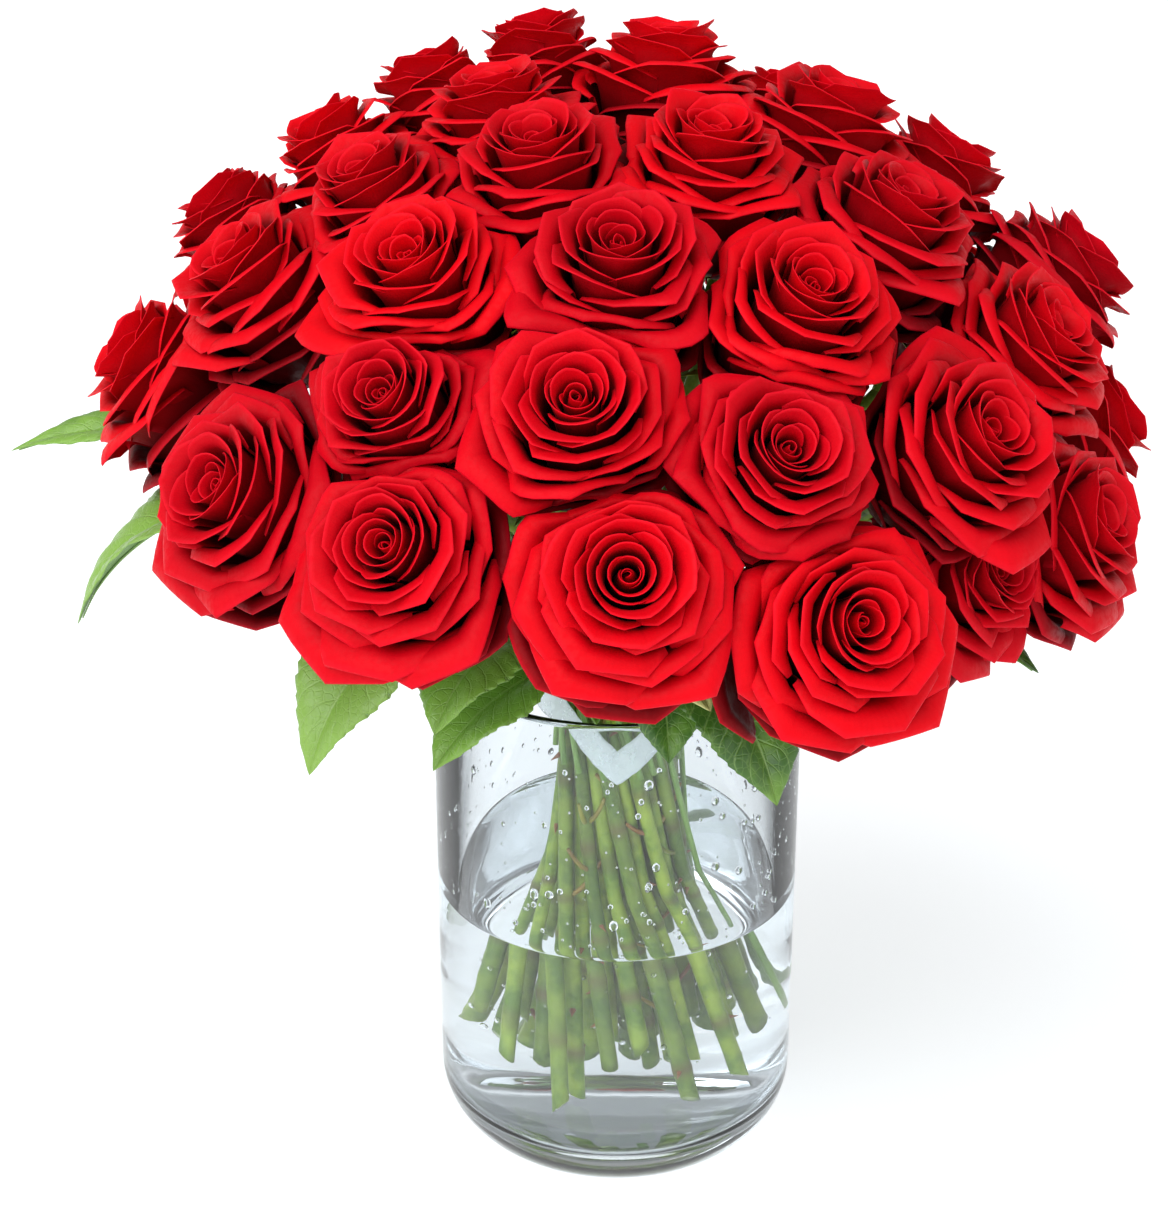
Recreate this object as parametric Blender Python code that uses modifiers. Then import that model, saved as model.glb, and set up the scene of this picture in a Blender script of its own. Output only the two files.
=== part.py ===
"""A round hand-tied bouquet of red roses standing in a clear glass cylinder of water.

Metres, +Z up. The foot of the vase rests on Z = 0 and the axis of the vase is the Z axis.
The front of the bouquet faces -Y. Each rose is one grown piece: bloom, sepals and stem.
"""

import math

import bmesh
import bpy
import numpy as np

# ---------------------------------------------------------------- vase and water
VASE_RADIUS = 0.070
VASE_HEIGHT = 0.206
GLASS_WALL = 0.004
GLASS_FLOOR = 0.014
OUTER_CORNER = 0.028
INNER_CORNER = 0.022
TURN_STEPS = 40
WATER_LEVEL = 0.107
CLEARANCE = 0.0003

# ---------------------------------------------------------------- the dome of blooms
DOME_CENTRE_Z = 0.256
DOME_REACH = 0.190
DOME_RISE = 0.170
FAN_FOCUS_Z = 0.200
BLOOM_DEPTH = 0.056
BLOOM_SIDES = 10
NEIGHBOUR_GAP = 0.0008

# ---------------------------------------------------------------- the bundle of stems
CROSSING_Z = 0.215
CROSSING_RADIUS = 0.0275
STEM_RADIUS = 0.00265
STEM_SIDES = 5
STEM_SPACING = 0.0070
FOOT_SPREAD = 1.88
SPIRAL_TURN = math.radians(90)
BLOOM_LEAD = math.radians(32)
STEM_END_Z = 0.032
STEM_END_STEP = 0.0055
LEAF_STALK_RADIUS = 0.0013
LEAF_THICKNESS = 0.0011

# ---------------------------------------------------------------- the binding
TIE_TOP = 0.1985
TIE_BOTTOM = 0.1845
TIE_RADIUS = 0.0305
TIE_THICKNESS = 0.0009

# Each rose: compass direction in degrees (270 is the front), lean from upright in
# degrees, bloom diameter in millimetres, and how far it stands proud in millimetres.
ROSES = (
    (223, 69, 82, 2), (246, 70, 82, 0), (271, 71, 84, 0), (294, 78, 84, 2), (332, 77, 80, 0),
    (183, 66, 80, 4), (240, 54, 74, -5), (265, 53, 82, 0), (289, 59, 80, 0), (315, 62, 82, 2),
    (340, 56, 78, 0), (199, 47, 74, 0), (235, 39, 80, 0), (270, 35, 80, 0), (299, 42, 82, 0),
    (7, 58, 78, 13), (332, 35, 80, 0), (172, 49, 72, 7), (208, 31, 68, 0), (244, 20, 74, 0),
    (300, 19, 74, 0), (166, 35, 70, 4), (190, 14, 68, 0), (68, 13, 76, 7), (10, 24, 76, 3),
    (20, 42, 74, 5), (116, 21, 68, 12), (141, 28, 68, 8), (317, 77, 62, -16),
    (153, 66, 84, 0), (124, 68, 86, 0), (94, 66, 86, 0), (64, 68, 86, 0), (34, 68, 84, 0),
    (5, 76, 82, 0), (128, 46, 80, 0), (98, 44, 82, 0), (67, 46, 82, 0), (43, 52, 76, -2),
    (93, 28, 76, 0), (50, 31, 76, 0),
)

# Each leaf: compass direction, reach and height of the blade's base in millimetres, blade
# length and width in millimetres, rise of the blade's base above level, total droop,
# sideways roll and swing of the blade away from straight outwards, all in degrees.
LEAVES = (
    (225, 86, 246, 80, 48, 2, 78, -14, -4),
    (240, 76, 239, 50, 46, 4, 60, 10, -4),
    (249, 65, 225, 58, 40, -6, 44, -8, -33),
    (256, 68, 231, 36, 24, -6, 20, -14, 30),
    (282, 70, 230, 40, 32, -10, 56, -10, -6),
    (289, 76, 238, 66, 46, -14, 56, 16, 20),
    (280, 94, 247, 42, 24, 10, 34, 30, 10),
    (329, 98, 249, 72, 38, 6, 34, -12, 0),
    (193, 126, 275, 90, 50, 8, 76, 10, 0),
    (168, 138, 268, 100, 34, 24, 46, -10, 8),
    (148, 84, 236, 84, 46, 12, 84, 12, 0),
    (116, 80, 230, 86, 48, 8, 80, -10, 0),
    (80, 80, 230, 86, 48, 8, 80, 12, 0),
    (42, 80, 230, 86, 48, 8, 80, -10, 0),
    (3, 84, 234, 84, 46, 10, 80, 10, 0),
)

# Leaves whose stalks go on down into the water, by their place in the list above.
LONG_STALKS = (5, 7, 3)


# ---------------------------------------------------------------- scene and materials
def clear_scene():
    """Empty the startup scene and make the two collections."""
    for thing in list(bpy.data.objects):
        bpy.data.objects.remove(thing, do_unlink=True)
    holder = bpy.data.collections.new("bouquet_of_roses")
    cutters = bpy.data.collections.new("cutters")
    bpy.context.scene.collection.children.link(holder)
    bpy.context.scene.collection.children.link(cutters)
    cutters.hide_render = True
    return holder, cutters


def plain_material(name, colour, roughness, metallic=0.0, clear=0.0):
    """A Principled material with one colour."""
    material = bpy.data.materials.new(name)
    material.use_nodes = True
    shader = material.node_tree.nodes["Principled BSDF"]
    shader.inputs["Base Color"].default_value = (*colour, 1.0)
    shader.inputs["Roughness"].default_value = roughness
    shader.inputs["Metallic"].default_value = metallic
    shader.inputs["Transmission Weight"].default_value = clear
    material.diffuse_color = (*colour, 1.0)
    return material


def add_mesh(name, points, faces, material, collection, smooth=True):
    """One named object from points and faces."""
    mesh = bpy.data.meshes.new(name)
    mesh.from_pydata([tuple(map(float, p)) for p in points], [], faces)
    shell = bmesh.new()
    shell.from_mesh(mesh)
    bmesh.ops.recalc_face_normals(shell, faces=shell.faces)
    if shell.calc_volume(signed=True) < 0:
        bmesh.ops.reverse_faces(shell, faces=shell.faces)
    shell.to_mesh(mesh)
    shell.free()
    for polygon in mesh.polygons:
        polygon.use_smooth = smooth
    if material is not None:
        mesh.materials.append(material)
    thing = bpy.data.objects.new(name, mesh)
    collection.objects.link(thing)
    return thing


# ---------------------------------------------------------------- small geometry helpers
def unit(vector):
    """The vector at length one."""
    return vector / np.linalg.norm(vector)


def outward(compass, lean):
    """The direction at a compass angle and a lean from upright, both in degrees."""
    around = math.radians(compass)
    tilt = math.radians(lean)
    level = math.sin(tilt)
    return np.array([level * math.cos(around), level * math.sin(around), math.cos(tilt)])


def cross_axes(along):
    """Two unit vectors square to a direction, the first as near to upright as it can be."""
    up = np.array([0.0, 0.0, 1.0])
    if abs(along[2]) > 0.999:
        up = np.array([0.0, 1.0, 0.0])
    first = unit(up - along * np.dot(up, along))
    return first, np.cross(along, first)


def ring_around(centre, along, radii, turn=0.0, start=None):
    """Points round a centre, square to a direction, one for each radius."""
    first, second = cross_axes(along) if start is None else start
    ring = []
    for step, radius in enumerate(radii):
        angle = turn + 2 * math.pi * step / len(radii)
        ring.append(centre + radius * (math.cos(angle) * first + math.sin(angle) * second))
    return ring


def join_rings(low, high):
    """Faces between two rings; the upper ring holds as many points as the lower, or twice."""
    faces = []
    count = len(low)
    double = len(high) == 2 * count
    for step in range(count):
        after = (step + 1) % count
        if double:
            left, middle = high[2 * step], high[2 * step + 1]
            right = high[(2 * step + 2) % len(high)]
            faces.append((low[step], middle, left))
            faces.append((low[step], low[after], middle))
            faces.append((low[after], right, middle))
        else:
            faces.append((low[step], low[after], high[after], high[step]))
    return faces


class Skin:
    """Points and faces of one closed loft, built up ring by ring."""

    def __init__(self):
        self.points = []
        self.faces = []
        self.last = None

    def ring(self, points):
        """Add a ring and join it to the one before."""
        first = len(self.points)
        self.points.extend(points)
        indices = list(range(first, first + len(points)))
        if self.last is not None:
            self.faces.extend(join_rings(self.last, indices))
        self.last = indices

    def close_start(self):
        """Cap the first ring."""
        self.faces.append(tuple(reversed(self.last)))

    def close_flat(self):
        """Cap the last ring."""
        self.faces.append(tuple(self.last))

    def close_point(self, point):
        """Draw the last ring together at one point."""
        tip = len(self.points)
        self.points.append(point)
        count = len(self.last)
        for step in range(count):
            self.faces.append((self.last[step], self.last[(step + 1) % count], tip))


# ---------------------------------------------------------------- the plan of the bundle
def crossing_places():
    """Where each stem crosses the narrow plane of the bundle, as points near the Z axis.

    A rose that leans further out crosses further from the middle; the roses are then eased
    apart until no two stems press together.
    """
    wanted = []
    sizes = []
    for compass, lean, _, _ in ROSES:
        share = (1 - math.cos(math.radians(lean))) / (1 - math.cos(math.radians(83)))
        place = 0.92 * CROSSING_RADIUS * math.sqrt(share)
        angle = math.radians(compass) + BLOOM_LEAD
        wanted.append((place * math.cos(angle), place * math.sin(angle)))
        sizes.append(STEM_SPACING / 2)
    for compass, *_ in LEAVES:
        angle = math.radians(compass) + BLOOM_LEAD * 0.8
        wanted.append((CROSSING_RADIUS * math.cos(angle), CROSSING_RADIUS * math.sin(angle)))
        sizes.append(LEAF_STALK_RADIUS + 0.0011)
    wanted = np.array(wanted)
    sizes = np.array(sizes)
    places = wanted.copy()
    reach = sizes[:, None] + sizes[None, :]
    for _ in range(600):
        gaps = places[:, None, :] - places[None, :, :]
        far = np.linalg.norm(gaps, axis=2) + np.eye(len(places))
        push = np.clip(reach - far, 0, None) * (1 - np.eye(len(places)))
        places = places + 0.35 * (gaps / far[:, :, None] * push[:, :, None]).sum(axis=1)
        places = places + 0.004 * (wanted - places)
        from_axis = np.linalg.norm(places, axis=1)
        limit = CROSSING_RADIUS + 0.0010 - (sizes - sizes.min())
        places *= np.minimum(1.0, limit / from_axis)[:, None]
    return places


def straight_line(place, level):
    """The point of one straight lower stem at a height; together the stems spiral."""
    share = (CROSSING_Z - level) / (CROSSING_Z - STEM_END_Z)
    swing = FOOT_SPREAD * complex(math.cos(SPIRAL_TURN), math.sin(SPIRAL_TURN))
    spot = complex(place[0], place[1]) * ((1 - share) + share * swing)
    return np.array([spot.real, spot.imag, level])


def rising_direction(place):
    """The direction in which a straight lower stem comes up through the crossing."""
    return unit(straight_line(place, CROSSING_Z) - straight_line(place, CROSSING_Z - 0.02))


def bend(start, start_way, end, end_way, steps, pull=0.9):
    """A smooth curve from start to end that leaves and arrives along the two directions."""
    span = pull * np.linalg.norm(end - start)
    curve = []
    for step in range(steps + 1):
        t = step / steps
        curve.append(
            (2 * t**3 - 3 * t**2 + 1) * start
            + (t**3 - 2 * t**2 + t) * span * start_way
            + (3 * t**2 - 2 * t**3) * end
            + (t**3 - t**2) * span * end_way
        )
    return curve


def bloom_faces():
    """Centre of the open face, outward axis and radius of every bloom."""
    blooms = []
    for compass, lean, diameter, proud in ROSES:
        way = outward(compass, lean)
        centre = np.array([0.0, 0.0, DOME_CENTRE_Z])
        face = centre + way * np.array([DOME_REACH, DOME_REACH, DOME_RISE])
        axis = unit(face - np.array([0.0, 0.0, FAN_FOCUS_Z]))
        face = face + axis * proud / 1000
        blooms.append((face, axis, diameter / 2000))
    return blooms


def ease_apart(curves, radii, rounds=60):
    """Push the curved upper stems sideways where two of them come too close."""
    curves = [np.array(curve) for curve in curves]
    fine = 4
    for _ in range(rounds):
        samples = []
        for curve in curves:
            dense = [curve[i] + (curve[i + 1] - curve[i]) * k / fine
                     for i in range(len(curve) - 1) for k in range(fine)]
            samples.append(np.array(dense + [curve[-1]]))
        moved = False
        for a in range(len(curves)):
            for b in range(a + 1, len(curves)):
                gaps = samples[a][:, None, :] - samples[b][None, :, :]
                far = np.linalg.norm(gaps, axis=2)
                spot_a, spot_b = np.unravel_index(far.argmin(), far.shape)
                short = radii[a] + radii[b] + 0.0012 - far[spot_a, spot_b]
                if short <= 0:
                    continue
                moved = True
                way = gaps[spot_a, spot_b] / far[spot_a, spot_b]
                for curve, spot, sign in ((curves[a], spot_a, 1), (curves[b], spot_b, -1)):
                    middle = min(max(round(spot / fine), 1), len(curve) - 2)
                    for index in (middle - 1, middle, middle + 1):
                        if 1 <= index <= len(curve) - 2:
                            weight = 0.5 if index == middle else 0.22
                            curve[index] += sign * weight * short * way
        if not moved:
            break
    return curves


# ---------------------------------------------------------------- one rose
def pressed(point, axis_point, own, blooms, number):
    """Draw a petal point in towards the bloom's axis until it clears every neighbour.

    The border with a neighbour is the plane where two swelling blooms would meet, so a
    bloom with close neighbours grows five or six flat sides.
    """
    share = 1.0
    core, reach = own
    for other, (face, axis, radius) in enumerate(blooms):
        if other == number:
            continue
        far_core = face - axis * BLOOM_DEPTH * 0.35
        across = far_core - core
        length = np.linalg.norm(across)
        if length > 0.13:
            continue
        normal = across / length
        border = (length**2 + reach**2 - radius**2) / (2 * length) - NEIGHBOUR_GAP / 2
        start = np.dot(axis_point - core, normal)
        run = np.dot(point - axis_point, normal)
        if run > 1e-9 and start + run > border:
            share = min(share, max(border - start, 0.0) / run)
    return axis_point + (point - axis_point) * max(share, 0.12)


def stem_ring(curve, index, radius):
    """One ring of the stem, square to its run."""
    ahead = curve[min(index + 1, len(curve) - 1)]
    behind = curve[max(index - 1, 0)]
    return ring_around(curve[index], unit(ahead - behind), [radius] * STEM_SIDES)


def bloom_ring(bloom, blooms, number, depth, petal, valley, turn):
    """One ring of the bloom at a depth below its face, ten points round.

    Even points lie at the middle of a petal and odd points in the valley between two.
    """
    face, axis, radius = bloom
    middle = face - axis * depth * BLOOM_DEPTH
    radii = [radius * (petal if step % 2 == 0 else valley) for step in range(BLOOM_SIDES)]
    own = (face - axis * BLOOM_DEPTH * 0.35, radius)
    ring = ring_around(middle, axis, radii, turn)
    return [pressed(point, middle, own, blooms, number) for point in ring]


def rose(number, curve, bloom, blooms, material, collection):
    """Stem, hip, sepals and petals as one closed skin, from the cut end to the heart."""
    face, axis, _ = bloom
    skin = Skin()
    skin.ring(stem_ring(curve, 0, STEM_RADIUS))
    skin.close_start()
    for index in range(1, len(curve) - 1):
        skin.ring(stem_ring(curve, index, STEM_RADIUS))
    base = face - axis * BLOOM_DEPTH
    skin.ring(ring_around(base - axis * 0.004, axis, [0.0034] * STEM_SIDES))
    # (depth below the face, reach at a petal's middle, reach in a valley, turn)
    whorls = (
        (0.93, 0.150, 0.145, 0.0),
        (0.86, 0.310, 0.130, 0.0),
        (0.62, 0.700, 0.640, 0.0),
        (0.28, 0.950, 0.860, 0.1),
        (0.06, 1.000, 0.860, 0.2),
        (-0.03, 0.840, 0.740, 0.3),
        (0.20, 0.660, 0.640, 0.5),
        (-0.05, 0.560, 0.490, 0.7),
        (0.22, 0.360, 0.340, 0.9),
        (-0.02, 0.250, 0.200, 1.1),
    )
    for depth, petal, valley, turn in whorls:
        skin.ring(bloom_ring(bloom, blooms, number, depth, petal, valley, turn))
    skin.close_point(face - axis * BLOOM_DEPTH * 0.10)
    return add_mesh(f"rose_{number + 1:02d}", skin.points, skin.faces, material, collection)


# ---------------------------------------------------------------- one leaf
def leaf_spine(leaf):
    """Centreline of the blade, from its base to its tip, and the share along it."""
    compass, reach, height, length, _, rise, droop, _, swing = leaf
    up = np.array([0.0, 0.0, 1.0])
    point = outward(compass, 90) * reach / 1000 + up * height / 1000
    way = outward(compass + swing, 90)
    steps = 6
    spine = [point]
    for step in range(steps):
        pitch = math.radians(rise - droop * (step + 0.5) / steps)
        point = point + (length / 1000 / steps) * (way * math.cos(pitch) + up * math.sin(pitch))
        spine.append(point)
    first_pitch = math.radians(rise)
    start = way * math.cos(first_pitch) + up * math.sin(first_pitch)
    return spine, start


def leaf_ring(centre, along, side, half_width, thickness, fold):
    """Six points: two at each edge and two on the midrib, folded up in a shallow V."""
    lift = np.cross(along, side)
    edge = abs(half_width) * fold
    half = thickness / 2
    return [
        centre - side * half_width + lift * (edge + half),
        centre - side * half_width + lift * (edge - half),
        centre - lift * half,
        centre + side * half_width + lift * (edge - half),
        centre + side * half_width + lift * (edge + half),
        centre + lift * half,
    ]


def leaf(number, place, plan, material, collection):
    """Stalk and blade as one closed skin, from the cut end of the stalk to the tip."""
    compass, _, _, _, width, _, _, roll, swing = plan
    spine, start_way = leaf_spine(plan)
    foot = STEM_END_Z + 0.012 if number in LONG_STALKS else 0.158
    levels = (foot, (foot + CROSSING_Z) / 2) if number in LONG_STALKS else (foot,)
    stalk = [straight_line(place, level) for level in levels]
    crossing = straight_line(place, CROSSING_Z)
    stalk += bend(crossing, rising_direction(place), spine[0], start_way, 5, 0.75)
    level_side = outward(compass + swing + 90, 90)
    skin = Skin()
    for index in range(len(stalk) - 1):
        ahead = unit(stalk[index + 1] - stalk[max(index - 1, 0)])
        side = unit(np.cross(ahead, np.cross(level_side, ahead)))
        skin.ring(leaf_ring(stalk[index], ahead, side, LEAF_STALK_RADIUS,
                            2 * LEAF_STALK_RADIUS, 0.0))
        if index == 0:
            skin.close_start()
    # Share of the full width at each station of the blade.
    outline = (0.10, 0.72, 1.00, 0.96, 0.72, 0.38)
    for index, share in enumerate(outline):
        ahead = unit(spine[index + 1] - spine[max(index - 1, 0)])
        twist = math.radians(roll) * index / len(outline)
        lift = np.cross(ahead, level_side)
        side = math.cos(twist) * level_side + math.sin(twist) * lift
        half = share * width / 2000
        skin.ring(leaf_ring(spine[index], ahead, side, half, LEAF_THICKNESS, 0.22))
    skin.close_point(spine[-1])
    return add_mesh(f"leaf_{number + 1:02d}", skin.points, skin.faces, material, collection)


# ---------------------------------------------------------------- vase, water and tie
def quarter_arc(centre_r, centre_z, radius, start, end, steps):
    """Points on an arc in the half plane, angles in degrees."""
    points = []
    for step in range(steps + 1):
        angle = math.radians(start + (end - start) * step / steps)
        points.append((centre_r + radius * math.cos(angle), centre_z + radius * math.sin(angle)))
    return points


def turned(name, profile, material, collection):
    """A solid of revolution about the Z axis."""
    points = [(radius, 0.0, height) for radius, height in profile]
    edges = [(i, i + 1) for i in range(len(points) - 1)]
    mesh = bpy.data.meshes.new(name)
    mesh.from_pydata(points, edges, [])
    mesh.materials.append(material)
    thing = bpy.data.objects.new(name, mesh)
    collection.objects.link(thing)
    screw = thing.modifiers.new("turn", "SCREW")
    screw.steps = TURN_STEPS
    screw.render_steps = TURN_STEPS
    screw.use_merge_vertices = True
    screw.merge_threshold = 0.00005
    screw.use_smooth_shade = True
    screw.use_normal_calculate = True
    return thing


def vase(material, collection):
    """Straight cylinder of thick glass with a heavy, strongly rounded foot."""
    inner = VASE_RADIUS - GLASS_WALL
    profile = [(0.0, GLASS_FLOOR)]
    profile += quarter_arc(inner - INNER_CORNER, GLASS_FLOOR + INNER_CORNER,
                           INNER_CORNER, -90, 0, 4)
    profile += quarter_arc(VASE_RADIUS - GLASS_WALL / 2, VASE_HEIGHT - GLASS_WALL / 2,
                           GLASS_WALL / 2, 180, 0, 4)
    profile += quarter_arc(VASE_RADIUS - OUTER_CORNER, OUTER_CORNER, OUTER_CORNER, 0, -90, 5)
    profile.append((0.0, 0.0))
    return turned("vase", profile, material, collection)


def water(stems, material, collection, cutters):
    """The water in the vase, with a sleeve left free round every stem that stands in it."""
    inner = VASE_RADIUS - GLASS_WALL - CLEARANCE
    corner = INNER_CORNER - CLEARANCE
    profile = [(0.0, WATER_LEVEL), (inner, WATER_LEVEL)]
    profile += quarter_arc(inner - corner, GLASS_FLOOR + INNER_CORNER, corner, 0, -90, 4)
    profile.append((0.0, GLASS_FLOOR + CLEARANCE))
    body = turned("water", profile, material, collection)
    skin_points = []
    skin_faces = []
    for curve, radius in stems:
        sleeve = Skin()
        away = unit(curve[0] - curve[1])
        path = [curve[0] + away * 0.0006] + [point for point in curve[1:]]
        path = [path[0]] + [point for point in path[1:] if point[2] < WATER_LEVEL + 0.03][:2]
        for index, point in enumerate(path):
            ahead = unit(path[1] - path[0])
            sides = STEM_SIDES
            sleeve.ring(ring_around(point, ahead, [radius] * sides))
            if index == 0:
                sleeve.close_start()
        sleeve.close_flat()
        first = len(skin_points)
        skin_points += sleeve.points
        skin_faces += [tuple(first + i for i in face) for face in sleeve.faces]
    sleeves = add_mesh("stem_sleeves", skin_points, skin_faces, None, cutters, False)
    sleeves.display_type = "WIRE"
    cut = body.modifiers.new("sleeves", "BOOLEAN")
    cut.operation = "DIFFERENCE"
    cut.object = sleeves
    cut.solver = "EXACT"
    return body


def binding_tie(material, collection):
    """A clear tape loop round the stems, dipping towards the front."""
    points = []
    faces = []
    steps = TURN_STEPS
    for step in range(steps):
        angle = 2 * math.pi * step / steps
        dip = 0.004 * math.sin(angle) + 0.002 * math.sin(2 * angle)
        for radius in (TIE_RADIUS, TIE_RADIUS + TIE_THICKNESS):
            for height in (TIE_BOTTOM + dip, TIE_TOP + dip):
                points.append((radius * math.cos(angle), radius * math.sin(angle), height))
    for step in range(steps):
        a = 4 * step
        b = 4 * ((step + 1) % steps)
        faces.append((a, a + 1, b + 1, b))
        faces.append((a + 2, b + 2, b + 3, a + 3))
        faces.append((a + 1, a + 3, b + 3, b + 1))
        faces.append((a, b, b + 2, a + 2))
    return add_mesh("binding_tie", points, faces, material, collection)


# ---------------------------------------------------------------- build
def build():
    """Build every piece of the bouquet."""
    holder, cutters = clear_scene()
    petals = plain_material("rose_petal", (0.62, 0.008, 0.016), 0.55)
    foliage = plain_material("rose_leaf", (0.10, 0.24, 0.05), 0.45)
    glass = plain_material("clear_glass", (0.93, 0.96, 0.97), 0.03, clear=1.0)
    liquid = plain_material("vase_water", (0.90, 0.95, 0.95), 0.02, clear=1.0)
    tape = plain_material("clear_tape", (0.85, 0.92, 0.92), 0.30, clear=0.5)
    blooms = bloom_faces()
    places = crossing_places()
    uppers = []
    for number, (face, axis, _) in enumerate(blooms):
        base = face - axis * (BLOOM_DEPTH + 0.006)
        start = straight_line(places[number], CROSSING_Z)
        uppers.append(bend(start, rising_direction(places[number]), base, axis, 5))
    uppers = ease_apart(uppers, [STEM_RADIUS] * len(uppers))
    standing = []
    for number, bloom in enumerate(blooms):
        end = STEM_END_Z + STEM_END_STEP * ((number * 7) % 5)
        lower = [straight_line(places[number], level) for level in (end, 0.125)]
        curve = lower + list(uppers[number]) + [bloom[0]]
        rose(number, curve, bloom, blooms, petals, holder)
        standing.append((curve, STEM_RADIUS + CLEARANCE))
    for number, plan in enumerate(LEAVES):
        place = places[len(ROSES) + number]
        leaf(number, place, plan, foliage, holder)
        if number in LONG_STALKS:
            foot = straight_line(place, STEM_END_Z + 0.012)
            above = straight_line(place, 0.125)
            standing.append(([foot, above], LEAF_STALK_RADIUS * 1.7 + CLEARANCE))
    vase(glass, holder)
    water(standing, liquid, holder, cutters)
    binding_tie(tape, holder)


build()
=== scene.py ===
# %% [markdown]
# # A hand-tied bunch of red roses in a glass cylinder
#
# This lesson dresses a measured model of a rose bouquet. The measured model is plain: one
# closed shape for each rose, each leaf, the vase, the water and the clear tape. Here each of
# them gets a detailed piece that stands in the same place. The first cell loads the plain
# model and notes the box it fills.

# %% Load the measured model
import math

import bpy
import numpy as np
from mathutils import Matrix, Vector


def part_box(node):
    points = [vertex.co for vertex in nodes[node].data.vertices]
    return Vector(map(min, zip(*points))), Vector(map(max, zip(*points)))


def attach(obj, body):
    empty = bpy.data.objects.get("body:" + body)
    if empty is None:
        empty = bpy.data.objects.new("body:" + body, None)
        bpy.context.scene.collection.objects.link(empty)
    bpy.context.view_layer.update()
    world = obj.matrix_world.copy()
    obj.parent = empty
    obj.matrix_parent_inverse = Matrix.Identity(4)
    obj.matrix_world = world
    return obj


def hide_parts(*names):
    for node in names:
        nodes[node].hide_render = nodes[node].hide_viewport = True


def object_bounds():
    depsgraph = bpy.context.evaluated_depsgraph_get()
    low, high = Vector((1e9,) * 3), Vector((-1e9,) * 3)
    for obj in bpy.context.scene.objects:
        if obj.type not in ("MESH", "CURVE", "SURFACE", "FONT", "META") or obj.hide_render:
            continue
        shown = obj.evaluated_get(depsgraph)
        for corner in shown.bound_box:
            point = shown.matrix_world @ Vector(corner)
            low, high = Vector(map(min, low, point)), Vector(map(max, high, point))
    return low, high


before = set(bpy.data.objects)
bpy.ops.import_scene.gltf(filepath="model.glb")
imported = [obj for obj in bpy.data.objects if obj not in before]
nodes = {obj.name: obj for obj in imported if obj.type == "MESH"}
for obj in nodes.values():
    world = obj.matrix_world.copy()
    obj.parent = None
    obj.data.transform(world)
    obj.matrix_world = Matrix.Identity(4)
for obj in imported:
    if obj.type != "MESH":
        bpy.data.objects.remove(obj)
measured_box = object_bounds()
rose_names = sorted(name for name in nodes if name.startswith("rose_"))
leaf_names = sorted(name for name in nodes if name.startswith("leaf_"))
print("roses", len(rose_names), "leaves", len(leaf_names))
print("box", [round(x, 4) for corner in measured_box for x in corner])

# %% [markdown]
# ## The camera
#
# A bouquet is usually looked at from a little above the rim of the vase, so that the dome of
# flowers, the glass and the water line all show. The camera stands well back with a long
# lens, which keeps the flowers at the edge from leaning outwards. Its place is worked out
# from the height of the model rather than typed in, so it follows the model's size.

# %% Camera
CAMERA_PITCH = math.radians(23.5)
CAMERA_TURN = math.radians(0.837)
CAMERA_DISTANCE = 0.95
FOCAL_LENGTH = 75.54
bouquet_height = measured_box[1].z
aim_height = bouquet_height * 0.5116

lens = bpy.data.cameras.new("portrait_lens")
lens.lens = FOCAL_LENGTH
lens.sensor_width = 36.0
lens.sensor_fit = "AUTO"
lens.clip_start = 0.01
lens.clip_end = 60.0
camera = bpy.data.objects.new("camera", lens)
bpy.context.scene.collection.objects.link(camera)
camera.location = (
    0.0,
    -CAMERA_DISTANCE * math.cos(CAMERA_PITCH),
    aim_height + CAMERA_DISTANCE * math.sin(CAMERA_PITCH),
)
camera.rotation_euler = (math.pi / 2 - CAMERA_PITCH, 0.0, CAMERA_TURN)
bpy.context.scene.camera = camera
bpy.context.scene.view_settings.view_transform = "Standard"
bpy.context.scene.cycles.max_bounces = 28
bpy.context.scene.cycles.transmission_bounces = 28
print("camera at", [round(x, 4) for x in camera.location])

# %% [markdown]
# ## Floor and light
#
# Flowers in a studio stand on a white table between white walls, under big soft lamps. Here
# walls and lamps are painted on the sky: white all round low down, a darker ceiling, one
# broad bright patch high on the left in front, and a weaker one on the right. Light painted on
# the sky reaches the stems through the glass with less grain than small lamps give. The floor
# glows a little, as a light table does, so it stays white and lifts the undersides.


# %% Node helpers
def add_node(tree, kind, **settings):
    """A node of one kind with its properties set."""
    node = tree.nodes.new(kind)
    for name, value in settings.items():
        setattr(node, name, value)
    return node


def feed(tree, source, target):
    """Join an output socket to an input, or set the input to a plain value."""
    if isinstance(source, bpy.types.NodeSocket):
        tree.links.new(source, target)
    else:
        target.default_value = source


def math_node(tree, operation, *values):
    """A Math node with its inputs joined or set, returned as its output."""
    node = add_node(tree, "ShaderNodeMath", operation=operation)
    for value, socket in zip(values, node.inputs):
        feed(tree, value, socket)
    return node.outputs[0]


def ramp_node(tree, value, low, high, start=0.0, end=1.0, smooth=True):
    """A value moved from one range to another and held inside it."""
    node = add_node(tree, "ShaderNodeMapRange", clamp=True)
    node.interpolation_type = "SMOOTHSTEP" if smooth else "LINEAR"
    for socket, number in zip(node.inputs, (value, low, high, start, end)):
        feed(tree, number, socket)
    return node.outputs[0]


def mix_colour(tree, share, first, second, blend="MIX"):
    """Two colours mixed by a share."""
    node = add_node(tree, "ShaderNodeMix", data_type="RGBA", blend_type=blend)
    feed(tree, share, node.inputs[0])
    feed(tree, first, node.inputs[6])
    feed(tree, second, node.inputs[7])
    return node.outputs[2]


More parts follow.
